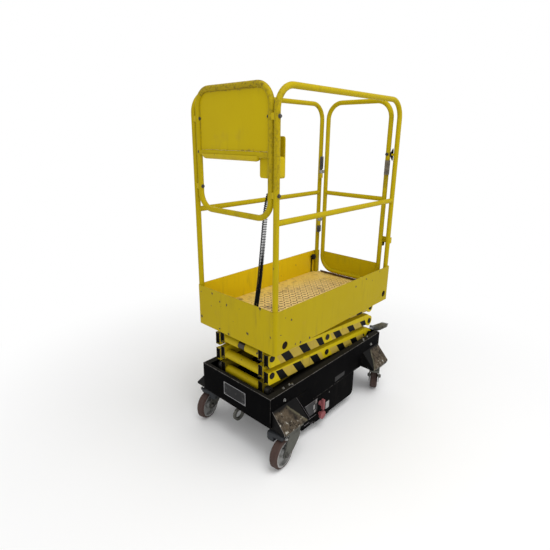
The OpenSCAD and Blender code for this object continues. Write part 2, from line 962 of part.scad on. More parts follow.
// solid tread
module tyre() {
  color(tread) spun()
    polygon([
      [rim_r, -wheel_w / 2], [wheel_r - tyre_round, -wheel_w / 2],
      [wheel_r, -wheel_w / 2 + tyre_round], [wheel_r, wheel_w / 2 - tyre_round],
      [wheel_r - tyre_round, wheel_w / 2], [rim_r, wheel_w / 2]
    ]);
}

module outer_arms_1() {
  outer_arms(1);
}

module inner_arms_1() {
  inner_arms(1);
}

module inner_tubes_1() {
  inner_tubes(1, false);
}

module outer_arms_2() {
  outer_arms(2);
}

module inner_arms_2() {
  inner_arms(2);
}

module inner_tubes_2() {
  inner_tubes(2, false);
}

module outer_arms_3() {
  outer_arms(3);
}

module inner_arms_3() {
  inner_arms(3);
}

module inner_tubes_3() {
  inner_tubes(3, true);
}

module fork_fr() {
  at_castor(-castor_x, -castor_y, yaw_fr) fork();
}

module rim_fr() {
  at_castor(-castor_x, -castor_y, yaw_fr) rim();
}

module tyre_fr() {
  at_castor(-castor_x, -castor_y, yaw_fr) tyre();
}

module fork_fl() {
  at_castor(-castor_x, castor_y, yaw_fl) fork();
}

module rim_fl() {
  at_castor(-castor_x, castor_y, yaw_fl) rim();
}

module tyre_fl() {
  at_castor(-castor_x, castor_y, yaw_fl) tyre();
}

module fork_rr() {
  at_castor(castor_x, -castor_y, yaw_rr) fork();
}

module rim_rr() {
  at_castor(castor_x, -castor_y, yaw_rr) rim();
}

module tyre_rr() {
  at_castor(castor_x, -castor_y, yaw_rr) tyre();
}

module fork_rl() {
  at_castor(castor_x, castor_y, yaw_rl) fork();
}

module rim_rl() {
  at_castor(castor_x, castor_y, yaw_rl) rim();
}

module tyre_rl() {
  at_castor(castor_x, castor_y, yaw_rl) tyre();
}

chassis_frame();
power_pack_box();
battery_block();
castor_brackets();
castor_plates();
base_mounts();
base_shaft();
data_plate();
control_panel();
isolator_key();
stop_button();
tow_eye();
brake_lever();
outer_arms_1();
inner_arms_1();
inner_tubes_1();
base_rollers();
outer_arms_2();
inner_arms_2();
inner_tubes_2();
outer_arms_3();
deck_rollers();
inner_arms_3();
inner_tubes_3();
ram_barrel();
ram_rod();
deck();
tray_front();
tray_left();
tray_right();
deck_rails();
deck_lugs();
guard_rail_left();
guard_rail_right();
front_loop();
sign_panel();
loop_clamps();
control_bracket();
control_box();
cord_glands();
coiled_cord();
hinge_clamps();
gate_stop();
gate_loop();
kick_plate();
gate_hinges();
gate_latch();
fork_fr();
rim_fr();
tyre_fr();
fork_fl();
rim_fl();
tyre_fl();
fork_rr();
rim_rr();
tyre_rr();
fork_rl();
rim_rl();
tyre_rl();
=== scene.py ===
import math

import bmesh
import bpy
from mathutils import Matrix, Vector


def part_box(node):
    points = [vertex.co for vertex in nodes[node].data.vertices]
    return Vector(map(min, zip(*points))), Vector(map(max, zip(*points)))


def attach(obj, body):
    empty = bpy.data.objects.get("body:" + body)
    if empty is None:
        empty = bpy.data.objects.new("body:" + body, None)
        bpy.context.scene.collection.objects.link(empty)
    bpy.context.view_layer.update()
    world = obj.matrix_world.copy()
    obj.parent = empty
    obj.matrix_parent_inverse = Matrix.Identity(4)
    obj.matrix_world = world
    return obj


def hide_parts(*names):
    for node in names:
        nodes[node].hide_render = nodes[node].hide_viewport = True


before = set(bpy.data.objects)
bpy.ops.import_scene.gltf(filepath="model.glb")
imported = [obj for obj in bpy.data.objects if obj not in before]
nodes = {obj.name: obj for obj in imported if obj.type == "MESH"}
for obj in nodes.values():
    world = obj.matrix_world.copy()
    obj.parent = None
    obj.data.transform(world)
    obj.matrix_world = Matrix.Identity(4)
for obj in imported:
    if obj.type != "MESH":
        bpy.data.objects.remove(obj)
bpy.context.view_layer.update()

# Castors: place of the swivel axis, and the way each one stands in degrees
CASTORS = {
    "fr": ((-0.43, -0.3), 187.4),
    "fl": ((-0.43, 0.3), 195.0),
    "rr": ((0.43, -0.3), 27.0),
    "rl": ((0.43, 0.3), 0.0),
}

# Plane of the front loop, and of the chassis' right side
LOOP_X, SIDE_Y = -0.504, -0.2608


# Camera at the photograph's angle
def make_camera():
    eye = Vector((-1.799, -1.455, 1.597))
    ahead = Vector((0.699, 0.643, -0.312)).normalized()
    roll = math.radians(0.62)
    sensor, focal_pixels, photo_pixels = 36, 419.9, 550
    side = ahead.cross(Vector((0, 0, 1))).normalized()
    up = side.cross(ahead)
    right = side * math.cos(roll) + up * math.sin(roll)
    top = up * math.cos(roll) - side * math.sin(roll)
    data = bpy.data.cameras.new("photo_camera")
    data.sensor_fit = "HORIZONTAL"
    data.sensor_width = sensor
    data.lens = sensor * focal_pixels / photo_pixels
    data.clip_end = 60
    camera = bpy.data.objects.new("photo_camera", data)
    bpy.context.scene.collection.objects.link(camera)
    turn = Matrix((right, top, -ahead)).transposed().to_4x4()
    camera.matrix_world = Matrix.Translation(eye) @ turn
    bpy.context.scene.camera = camera


# Shader helpers: a node goes into the tree of the first socket among its values
def add_node(tree, kind, **values):
    node = tree.nodes.new(kind)
    for key, value in values.items():
        setattr(node, key, value)
    return node


def is_socket(value):
    return isinstance(value, bpy.types.NodeSocket)


def join(source, target):
    source.id_data.links.new(source, target)


def feed(socket, value):
    if is_socket(value):
        join(value, socket)
    elif value is not None:
        socket.default_value = value


def node_fed(kind, slots, values, **settings):
    tree = next(value.id_data for value in values if is_socket(value))
    node = add_node(tree, kind, **settings)
    for slot, value in zip(slots, values):
        feed(node.inputs[slot], value)
    return node.outputs


def maths(kind):
    def run(a, b=None, clamp=False):
        return node_fed("ShaderNodeMath", (0, 1), (a, b), operation=kind, use_clamp=clamp)[0]

    return run


times, plus, minus, divided = map(maths, ("MULTIPLY", "ADD", "SUBTRACT", "DIVIDE"))
larger, smaller, magnitude = map(maths, ("MAXIMUM", "MINIMUM", "ABSOLUTE"))
is_over, is_under = map(maths, ("GREATER_THAN", "LESS_THAN"))
sign_of, fraction = map(maths, ("SIGN", "FRACT"))


def vector_node(kind, a, b=None):
    return node_fed("ShaderNodeVectorMath", (0, 1), (a, b), operation=kind)[0]


def coordinate(tree, kind="Object"):
    return add_node(tree, "ShaderNodeTexCoord").outputs[kind]


def split(vector):
    return node_fed("ShaderNodeSeparateXYZ", (0,), (vector,))


def ramp(value, low, high):
    return node_fed("ShaderNodeMapRange", ("Value", "From Min", "From Max"), (value, low, high),
                    interpolation_type="SMOOTHSTEP")[0]


def blend(share, a, b):
    a, b = (tone if is_socket(tone) else (*tone, 1) for tone in (a, b))
    return node_fed("ShaderNodeMix", (0, 6, 7), (share, a, b), data_type="RGBA")[2]


# One tone after another over a base, each by its share
def layered(base, *layers):
    for share, tone in layers:
        base = blend(share, base, tone)
    return base


def noise(vector, scale, detail=4.0, rough=0.55):
    slots = ("Vector", "Scale", "Detail", "Roughness")
    return node_fed("ShaderNodeTexNoise", slots, (vector, scale, detail, rough))[0]


def mix_shaders(share, first, second, end):
    sources = (share, first.outputs[0], second.outputs[0])
    mixed = node_fed("ShaderNodeMixShader", (0, 1, 2), sources)
    join(mixed[0], end.inputs["Surface"])


# Node group with vector inputs, number inputs by their first values, and number outputs
def new_group(name, outputs, *vectors, **numbers):
    group = bpy.data.node_groups.new(name, "ShaderNodeTree")
    add_socket = group.interface.new_socket
    for label in vectors:
        add_socket(label, in_out="INPUT", socket_type="NodeSocketVector")
    for label, value in numbers.items():
        socket = add_socket(label, in_out="INPUT", socket_type="NodeSocketFloat")
        socket.default_value = value
    for label in outputs:
        add_socket(label, in_out="OUTPUT", socket_type="NodeSocketFloat")
    given = add_node(group, "NodeGroupInput").outputs
    return group, given, add_node(group, "NodeGroupOutput").inputs


def place_group(tree, name, **values):
    node = add_node(tree, "ShaderNodeGroup", node_tree=GROUPS[name])
    for label, value in values.items():
        feed(node.inputs[label], value)
    return node.outputs


# Chips and scratches through paint
def make_chips_group():
    group, given, out = new_group("paint_chips", ("Chip", "Scuff"), Scale=14.0, Amount=0.3)
    place = coordinate(group)
    spots = noise(place, given["Scale"], 6.0, 0.62)
    field = noise(place, times(given["Scale"], 0.21), 2.0)
    mixed = plus(times(spots, 0.7), times(field, 0.3))
    edge = minus(0.78, times(given["Amount"], 0.28))
    join(ramp(mixed, edge, plus(edge, 0.012)), out["Chip"])
    join(ramp(mixed, minus(edge, 0.13), edge), out["Scuff"])
    return group


# Rubbed edges of a box-shaped piece, from the distance to its two nearest faces
def make_edge_group():
    group, given, out = new_group(
        "edge_rub", ("Rub", "Line"), "Low", "High", Reach=0.006, Break=60.0)
    place = coordinate(group)
    below = vector_node("ABSOLUTE", vector_node("SUBTRACT", place, given["Low"]))
    above = vector_node("ABSOLUTE", vector_node("SUBTRACT", place, given["High"]))
    x, y, z = split(vector_node("MINIMUM", below, above))
    inner = smaller(larger(x, y), z)
    second = larger(smaller(x, y), inner)
    rough = noise(place, given["Break"], 5.0, 0.65)
    patch = ramp(noise(place, 7.0, 2.0), 0.40, 0.66)
    ragged = times(ramp(rough, 0.42, 0.68), plus(patch, 0.25))
    reach = times(given["Reach"], times(ragged, 2.0))
    join(ramp(second, reach, 0.0), out["Rub"])
    thin = ramp(second, 0.0022, 0.0008)
    join(times(thin, ramp(rough, 0.30, 0.56)), out["Line"])
    return group


# Sparse dark knocks: one ragged spot in some of the cells of a scattered grid
def make_knocks_group():
    group, given, out = new_group("paint_knocks", ("Knock",), Scale=16.0, Share=0.3, Size=0.2)
    place = coordinate(group)
    stir = node_fed("ShaderNodeTexNoise", ("Vector", "Scale", "Detail"), (place, 95.0, 3.0))
    centred = vector_node("SUBTRACT", stir["Color"], (0.5, 0.5, 0.5))
    shift = vector_node("MULTIPLY", centred, (0.012, 0.012, 0.020))
    stirred = vector_node("ADD", place, shift)
    cells = node_fed("ShaderNodeTexVoronoi", ("Vector", "Scale"), (stirred, given["Scale"]))
    lot = split(cells["Color"])[0]
    drawn = ramp(lot, minus(1.0, given["Share"]), 1.0)
    edge = minus(times(drawn, given["Size"]), cells["Distance"])
    join(ramp(edge, 0.0, 0.012), out["Knock"])
    return group


# Grime that runs down and gathers in patches
def make_grime_group():
    group, given, out = new_group("grime_drift", ("Grime", "Mottle"), Scale=6.0, Amount=0.4)
    place = coordinate(group)
    stretched = vector_node("MULTIPLY", place, (9.0, 9.0, 1.2))
    streak = noise(stretched, given["Scale"], 3.0)
    patch = noise(place, times(given["Scale"], 0.6), 4.0)
    both = times(ramp(streak, 0.45, 0.75), ramp(patch, 0.4, 0.7))
    join(times(both, given["Amount"], True), out["Grime"])
    join(patch, out["Mottle"])
    return group


# Fine surface texture
def make_grain_group():
    group, given, out = new_group("fine_grain", ("Height", "Gloss"), Scale=300.0)
    place = coordinate(group)
    join(noise(place, given["Scale"], 2.0), out["Height"])
    join(noise(place, times(given["Scale"], 0.05), 4.0), out["Gloss"])
    return group


GROUPS = {
    "chips": make_chips_group(),
    "edge": make_edge_group(),
    "knocks": make_knocks_group(),
    "grime": make_grime_group(),
    "grain": make_grain_group(),
}


def new_material(name, colour, rough=0.5, metal=0.0, sheen=0.3):
    material = bpy.data.materials.new(name)
    material.use_nodes = True
    material.diffuse_color = (*colour, 1)
    shader = material.node_tree.nodes["Principled BSDF"]
    values = {"Base Color": (*colour, 1), "Roughness": rough, "Metallic": metal,
              "Specular IOR Level": sheen}
    for label, value in values.items():
        shader.inputs[label].default_value = value
    return material, material.node_tree, shader


# Last steps of a coat: its colour, its span of roughness and its relief
def finish_coat(shader, colour, grain, rough, height, depth, strength=0.3):
    gloss = node_fed("ShaderNodeMapRange", ("Value", "To Min", "To Max"), (grain["Gloss"], *rough))
    relief = node_fed("ShaderNodeBump", ("Height", "Strength", "Distance"),
                      (height, strength, depth))
    for label, source in (("Base Color", colour), ("Roughness", gloss[0]), ("Normal", relief[0])):
        join(source, shader.inputs[label])


# Chips and grime by scale and amount, and grain by scale
def wear_groups(tree, chips, grime, grain):
    return (place_group(tree, "chips", Scale=chips[0], Amount=chips[1]),
            place_group(tree, "grime", Scale=grime[0], Amount=grime[1]),
            place_group(tree, "grain", Scale=grain))


YELLOW = (0.50, 0.385, 0.003)
YELLOW_DEEP = (0.42, 0.305, 0.0025)
YELLOW_TUBE = (0.42, 0.325, 0.002)
# Lighter yellows for faces turned inward: painted light
YELLOW_PAINTED_LIGHT = (0.74, 0.53, 0.007)
YELLOW_PAINTED_LIGHT_DEEP = (0.64, 0.425, 0.005)
YELLOW_DIRT = (0.16, 0.11, 0.02)
# Tone of rubbed edges; on the sign panel the same tone is painted shadow in the gaps round it
YELLOW_RUBBED_AND_SHADOW = (0.17, 0.11, 0.03)
YELLOW_SCUFFED = (0.36, 0.25, 0.03)
# Tones of handled areas, also used for painted shadow on the sign
HAND_TARNISH_AND_SHADOW = (0.22, 0.15, 0.012)
HAND_SMEAR_AND_SHADOW = (0.060, 0.040, 0.016)
BLACK = (0.005, 0.005, 0.0055)
PRIMER = (0.060, 0.045, 0.030)
# Dark tone laid over the lowest tier's inner arms: painted shade
LOW_TIER_SHADE = (0.02, 0.015, 0.007)


def shaded(colour, *shares):
    return tuple(c * s for c, s in zip(colour, shares))


# Distance from a box's middle along one axis, and half the box's length there
def from_middle(place, box, axis):
    low_end, high_end = box[0][axis], box[1][axis]
    middle = (low_end + high_end) / 2
    return magnitude(minus(place[axis], middle)), (high_end - low_end) / 2


# Mask of the places inside a box, soft at its sides
def inside_box_mask(tree, box, soft=0.02):
    place = split(coordinate(tree))
    mask = 1.0
    for axis in range(3):
        away, half = from_middle(place, box, axis)
        mask = times(ramp(away, half + soft, half), mask)
    return mask


# Yellow machine paint: chips, knocks, grime, rubbed edges on sheet pieces, handled areas, painted
# light on faces turned inward, painted shadow where the rub or handled areas stand for it
def yellow_coat(name, box=None, chips=0.3, grime=0.35, scale=16.0, reach=0.0022, sheen=0.06,
                knocks=0.24, size=0.17, handled=(), tone=YELLOW, inner=None):
    material, tree, shader = new_material(name, tone, 0.42, sheen=sheen)
    wear, drift, grain = wear_groups(tree, (scale, chips), (5.0, grime), 260.0)
    knock = place_group(tree, "knocks", Scale=27.0, Share=knocks, Size=size)
    colour = blend(drift["Mottle"], shaded(tone, 0.84, 0.79, 0.8), tone)
    # Faces turned inward take a lighter, oranger yellow: painted light
    if inner is not None:
        facing = split(coordinate(tree, "Normal"))
        lit_inner_tone = blend(drift["Mottle"], YELLOW_PAINTED_LIGHT_DEEP, YELLOW_PAINTED_LIGHT)
        turned = is_over(times(facing[1], inner), 0.6)
        colour = blend(turned, colour, lit_inner_tone)
    colour = blend(drift["Grime"], colour, YELLOW_DIRT)
    mask = larger(wear["Chip"], knock["Knock"])
    if box is not None:
        # Rubbed edges, and on the sign panel painted shadow along its edges
        rub = place_group(tree, "edge", Low=box[0], High=box[1], Reach=reach, Break=70.0)
        colour = blend(times(rub["Rub"], 0.8), colour, YELLOW_RUBBED_AND_SHADOW)
    if handled:
        # Handled areas tarnish and smear; on the sign they are strips of painted shadow
        held_and_shaded = 0.0
        for area, strength in handled:
            held_and_shaded = larger(times(inside_box_mask(tree, area), strength), held_and_shaded)
        smear = ramp(noise(coordinate(tree), 85.0, 6.0, 0.66), 0.50, 0.60)
        colour = layered(colour, (times(held_and_shaded, 0.35), HAND_TARNISH_AND_SHADOW),
                         (times(held_and_shaded, times(smear, 0.55)), HAND_SMEAR_AND_SHADOW))
    colour = layered(colour, (times(wear["Scuff"], 0.3), YELLOW_SCUFFED), (mask, PRIMER))
    height = minus(times(grain["Height"], 0.08), mask)
    finish_coat(shader, colour, grain, (0.34, 0.56), height, 0.0005)
    return material


# Cross tubes in yellow with dark greasy pin heads outside the arms
def cross_tube_coat(name):
    pin_from = 0.162
    material, tree, shader = new_material(name, YELLOW, 0.45, sheen=0.12)
    place = split(coordinate(tree))
    wear, drift, grain = wear_groups(tree, (22.0, 0.5), (9.0, 0.6), 260.0)
    pin = is_over(magnitude(place[1]), pin_from)
    greasy = blend(wear["Scuff"], (0.007, 0.006, 0.005), (0.030, 0.025, 0.020))
    tone = layered(blend(drift["Mottle"], YELLOW_DEEP, YELLOW),
                   (drift["Grime"], (0.10, 0.07, 0.02)), (wear["Chip"], PRIMER), (pin, greasy))
    finish_coat(shader, tone, grain, (0.36, 0.6), grain["Height"], 0.0004)
    return material


# Castor housings: black, the front of each slope worn to bare metal and brown, with a painted
# highlight along the upper edge of the bare metal
def housing_coat(name):
    lip_y, rim_x, slope_z = 0.3425, 0.5094, 0.305
    soot, pale = (0.014, 0.012, 0.010), (0.34, 0.33, 0.29)
    material, tree, shader = new_material(name, BLACK, 0.55, sheen=0.06)
    place = split(coordinate(tree))
    facing = split(coordinate(tree, "Normal"))
    wear, drift, grain = wear_groups(tree, (62.0, 0.62), (24.0, 0.9), 260.0)
    knock = place_group(tree, "knocks", Scale=60.0, Share=0.55, Size=0.34)
    lip = is_over(magnitude(place[1]), lip_y)
    slope = larger(is_over(facing[2], 0.4), lip)
    waver = times(drift["Mottle"], 0.035)
    reach = magnitude(place[0])
    fall = times(minus(slope_z, place[2]), 0.8)
    inner = plus(plus(reach, fall), waver)
    inside = ramp(inner, 0.424, 0.432)
    # Light olive band along the upper edge of the bare metal: painted highlight
    ridge_highlight = times(inside, ramp(inner, 0.446, 0.434))
    lower = ramp(plus(place[2], waver), 0.322, 0.304)
    bare = times(slope, times(inside, lower))
    patches = ramp(drift["Mottle"], 0.35, 0.65)
    bright = layered(
        blend(patches, soot, (0.085, 0.064, 0.042)),
        (times(wear["Scuff"], 0.75), (0.125, 0.102, 0.074)),
        (times(ridge_highlight, 0.7), (0.105, 0.098, 0.062)),
        (wear["Chip"], pale), (knock["Knock"], soot),
        (times(drift["Grime"], 0.8), (0.03, 0.025, 0.02)))
    dark = blend(drift["Mottle"], (0.0026, 0.0026, 0.0029), (0.0075, 0.007, 0.0065))
    rim = ramp(magnitude(minus(reach, rim_x)), 0.0022, 0.001)
    worn = layered(dark, (bare, bright), (times(rim, times(slope, 0.7)), (0.19, 0.18, 0.165)))
    join(times(bare, times(wear["Chip"], 0.5)), shader.inputs["Metallic"])
    pits = times(larger(wear["Chip"], knock["Knock"]), bare)
    height = minus(grain["Height"], pits)
    finish_coat(shader, worn, grain, (0.42, 0.66), height, 0.0006, 0.35)
    return material


# Blank data plate: dark field with a thin bright border
def data_plate_coat(name, box, margin=0.004):
    material, tree, shader = new_material(name, (0.03, 0.03, 0.032), 0.4, sheen=0.1)
    place = split(coordinate(tree))
    spans = []
    for axis in (1, 2):
        away, half = from_middle(place, box, axis)
        spans.append(minus(half, away))
    rim = smaller(spans[0], spans[1])
    line = ramp(rim, margin, margin * 0.8)
    border = times(ramp(rim, 0.0005, 0.001), line)
    wear, drift, grain = wear_groups(tree, (40.0, 0.5), (20.0, 0.6), 400.0)
    field = blend(drift["Mottle"], (0.005, 0.005, 0.006), (0.018, 0.018, 0.019))
    field = blend(times(wear["Scuff"], 0.6), field, (0.07, 0.07, 0.07))
    silver = blend(drift["Grime"], (0.30, 0.30, 0.31), (0.10, 0.10, 0.10))
    height = plus(border, times(grain["Height"], 0.1))
    finish_coat(shader, blend(border, field, silver), grain, (0.32, 0.5), height, 0.0004)
    return material


# Black chassis paint: dust on its ledges, grey along its upper edges
def black_coat(name, box=None, chips=0.3, reach=0.0036, dust=0.35):
    material, tree, shader = new_material(name, BLACK, 0.5, sheen=0.01)
    wear, drift, grain = wear_groups(tree, (22.0, chips), (4.0, dust), 220.0)
    mottle = drift["Mottle"]
    mask = wear["Chip"]
    facing = split(coordinate(tree, "Normal"))
    settled = ramp(plus(facing[2], times(mottle, 0.3)), 0.85, 1.15)
    if box is not None:
        rub = place_group(tree, "edge", Low=box[0], High=box[1], Reach=reach, Break=55.0)
        height, top = split(coordinate(tree))[2], box[1][2]
        upper = ramp(height, top - 0.007, top - 0.004)
        upper = plus(times(upper, 0.75), 0.12)
        mask = larger(mask, times(rub["Rub"], 0.4))
        mask = larger(mask, times(rub["Line"], upper))
    colour = layered(
        blend(mottle, (0.0010, 0.0010, 0.0013), (0.0026, 0.0025, 0.0026)),
        (drift["Grime"], (0.011, 0.010, 0.009)), (times(settled, 0.3), (0.048, 0.044, 0.034)),
        (times(wear["Scuff"], 0.4), (0.018, 0.016, 0.014)), (mask, (0.17, 0.16, 0.15)))
    height = minus(times(grain["Height"], 0.3), mask)
    finish_coat(shader, colour, grain, (0.38, 0.62), height, 0.0005)
    return material


# Plain metals
def metal_finish(name, colour, rough, grime=0.5, metal=1.0, dirt=(0.05, 0.04, 0.03)):
    material, tree, shader = new_material(name, colour, rough, metal)
    wear, drift, grain = wear_groups(tree, (35.0, 0.5), (9.0, grime), 380.0)
    tone = blend(drift["Mottle"], shaded(colour, 0.72, 0.72, 0.72), colour)
    soiled = larger(drift["Grime"], times(wear["Scuff"], 0.5))
    span = (rough * 0.8, min(1.0, rough * 1.35))
    finish_coat(shader, blend(soiled, tone, dirt), grain, span, grain["Height"], 0.0004, 0.25)
    return material


# Plastics and rubbers
def moulded_finish(name, colour, rough, scale=240.0, dust=0.3, pale=(0.25, 0.23, 0.2),
                   sheen=0.3):
    material, tree, shader = new_material(name, colour, rough, sheen=sheen)
    drift = place_group(tree, "grime", Scale=11.0, Amount=dust)
    grain = place_group(tree, "grain", Scale=scale)
    tone = blend(drift["Mottle"], shaded(colour, 0.75, 0.75, 0.75), colour)
    tone, span = blend(drift["Grime"], tone, pale), (rough * 0.85, min(1.0, rough * 1.15))
    finish_coat(shader, tone, grain, span, grain["Height"], 0.0004)
    return material


# Dark open ends at the front of the arms' hollow sections, between two faces of |y|
def open_end_mask(place, facing, near, far):
    wall, front_x = 0.0006, -0.452
    away = magnitude(place[1])
    within = times(is_over(away, near + wall), is_under(away, far - wall))
    front = is_under(place[0], front_x)
    return times(times(within, front), is_under(facing[2], 0.5))


ARM_PINS_X = (-0.450, 0.015, 0.480)
ARM_SLOPE = -0.1022


# Outer scissor arms: yellow with slanted black bars on the outer faces and dark open ends, lighter
# yellow above the tape as painted light
def hazard_coat(name, pin_z, front_shift, rear_shift):
    bar_pitch, bar_share, bar_lean = 0.137, 0.46, 0.72
    tape_top, tape_gap, tape_lean = 0.0215, 0.040, 0.6
    material, tree, shader = new_material(name, YELLOW, 0.45, sheen=0.07)
    place = split(coordinate(tree))
    facing = split(coordinate(tree, "Normal"))
    wear, drift, grain = wear_groups(tree, (24.0, 0.45), (7.0, 0.5), 260.0)
    along = plus(place[0], times(place[2], bar_lean))
    rear = is_over(place[0], ARM_PINS_X[1])
    shift = plus(times(rear, rear_shift - front_shift), front_shift)
    along = minus(along, shift)
    wave = fraction(divided(plus(along, 3.0), bar_pitch))
    bar = times(ramp(wave, 0.0, 0.012), ramp(wave, bar_share, bar_share - 0.012))
    outer = is_over(times(facing[1], sign_of(place[1])), 0.7)
    lean = times(minus(place[0], ARM_PINS_X[1]), ARM_SLOPE)
    rise = minus(minus(place[2], pin_z), lean)
    taped = times(outer, ramp(rise, tape_top, tape_top - 0.001))
    leant = plus(place[0], times(rise, tape_lean))
    for pin_x in ARM_PINS_X:
        reach = magnitude(minus(leant, pin_x))
        taped = times(taped, ramp(reach, tape_gap, tape_gap + 0.003))
    bar = times(bar, taped)
    # Outside the tape the yellow is lighter than the paint: painted light on the top band and
    # flange under the tray
    face = layered(
        blend(taped, (0.60, 0.47, 0.006), (0.47, 0.345, 0.060)),
        (times(drift["Mottle"], 0.4), YELLOW_DEEP), (drift["Grime"], (0.12, 0.085, 0.03)),
        (bar, (0.003, 0.003, 0.003)), (wear["Chip"], (0.09, 0.07, 0.05)),
        (open_end_mask(place, facing, 0.168, 0.200), (0.007, 0.006, 0.006)))
    height = minus(times(grain["Height"], 0.25), wear["Chip"])
    finish_coat(shader, face, grain, (0.38, 0.6), height, 0.0005)
    return material


# Inner scissor arms: grimy yellow with dark open ends, darkened by painted shade where asked
def inner_arm_coat(name, shade_share=0.0):
    material, tree, shader = new_material(name, YELLOW, 0.45, sheen=0.16)
    place = split(coordinate(tree))
    facing = split(coordinate(tree, "Normal"))
    wear, drift, grain = wear_groups(tree, (20.0, 0.4), (5.0, 0.6), 260.0)
    tone = layered(
        blend(drift["Mottle"], YELLOW_DEEP, YELLOW),
        (drift["Grime"], (0.12, 0.08, 0.02)), (wear["Chip"], PRIMER), (shade_share, LOW_TIER_SHADE),
        (open_end_mask(place, facing, 0.128, 0.160), (0.008, 0.007, 0.007)))
    height = minus(times(grain["Height"], 0.25), wear["Chip"])
    finish_coat(shader, tone, grain, (0.36, 0.58), height, 0.0005)
    return material


# Tread plate deck: tan-yellow, worn where people stand, brown on the lozenges there
def deck_coat(name, raised=False):
    off_centre, size_x, size_y = 0.02, 0.46, 0.24
    worn_tone = (0.085, 0.042, 0.020) if raised else (0.74, 0.52, 0.23)
    worn_most = 0.9 if raised else 0.6
    material, tree, shader = new_material(name, (0.46, 0.31, 0.06), 0.5)
    place = split(coordinate(tree))
    wear, drift, grain = wear_groups(tree, (30.0, 0.55), (8.0, 0.6), 300.0)
    away_x = divided(minus(place[0], off_centre), size_x)
    away_y = divided(plus(place[1], off_centre), size_y)
    away = plus(times(away_x, away_x), times(away_y, away_y))
    away = plus(away, times(drift["Mottle"], 0.9))
    tone = layered(
        blend(drift["Mottle"], (0.58, 0.39, 0.070), (0.78, 0.57, 0.14)),
        (times(ramp(away, 1.75, 0.8), worn_most), worn_tone),
        (times(wear["Scuff"], 0.5), (0.17, 0.11, 0.05)), (wear["Chip"], (0.09, 0.06, 0.04)))
    if not raised:
        facing = split(coordinate(tree, "Normal"))
        tone = blend(is_under(facing[2], 0.5), tone, YELLOW)
    finish_coat(shader, tone, grain, (0.42, 0.66), grain["Height"], 0.0004)
    return material


def paint(material, *names):
    for name in names:
        slots = nodes[name].data.materials
        slots.clear()
        slots.append(material)


# Route of the cord from the control box to the gland in the deck
CORD_ROUTE = [
    (-0.445, -0.180, 1.4158), (-0.446, -0.178, 1.388), (-0.456, -0.160, 1.300),
    (-0.461, -0.154, 1.200), (-0.473, -0.137, 0.950), (-0.484, -0.115, 0.770),
    (-0.484, -0.115, 0.7062),
]


# Coiled cord: a helix along its route, eased into a straight lead at both ends
def make_cord():
    wire, coil_radius, turn_points = 0.0046, 0.0097, 16
    lead, ease, straight_climb = 0.012, 0.046, 0.011
    top_pitch, pitch_loss, rounding = 0.0088, 0.0034, 0.045
    points = [Vector(p) for p in CORD_ROUTE]
    lengths = [(b - a).length for a, b in zip(points, points[1:])]
    total = sum(lengths)

    def spot(run):
        for a, b, span in zip(points, points[1:], lengths):
            if run <= span or b is points[-1]:
                return a.lerp(b, min(1.0, run / span))
            run -= span

    def smooth_spot(run):
        reach = max(0.0, min(rounding, run, total - run))
        return sum((spot(run + k * reach / 4) for k in range(-4, 5)), Vector()) / 9

    path = [spot(lead * k / 3) for k in range(3)]
    run, angle = lead, 0.0
    while run < total - lead:
        share = (run - lead) / (total - 2 * lead)
        near = min(1.0, (run - lead) / ease, (total - lead - run) / ease)
        coiled = (top_pitch - pitch_loss * share) / (2 * math.pi)
        climb = coiled + (straight_climb - coiled) * (1.0 - near * near)
        radius = coil_radius * near * near * (3.0 - 2.0 * near)
        path.append(smooth_spot(run) + Vector((math.cos(angle), math.sin(angle), 0)) * radius)
        angle += 2 * math.pi / turn_points
        run += climb * 2 * math.pi / turn_points
    path += [spot(total - lead * k / 3) for k in (2, 1, 0)]
    curve = bpy.data.curves.new("curly_cord", "CURVE")
    curve.dimensions = "3D"
    curve.bevel_depth = wire / 2
    curve.bevel_resolution = 2
    curve.use_fill_caps = True
    spline = curve.splines.new("POLY")
    spline.points.add(len(path) - 1)
    for point, place in zip(spline.points, path):
        point.co = (*place, 1)
    spline.use_smooth = True
    cord = bpy.data.objects.new("curly_cord", curve)
    bpy.context.scene.collection.objects.link(cord)
    curve.materials.append(moulded_finish(
        "cord_sheath", (0.004, 0.004, 0.0045), 0.6, 500.0, 0.1, (0.02, 0.019, 0.018), 0.08))
    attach(cord, "platform")
    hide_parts("coiled_cord")


make_camera()
make_cord()


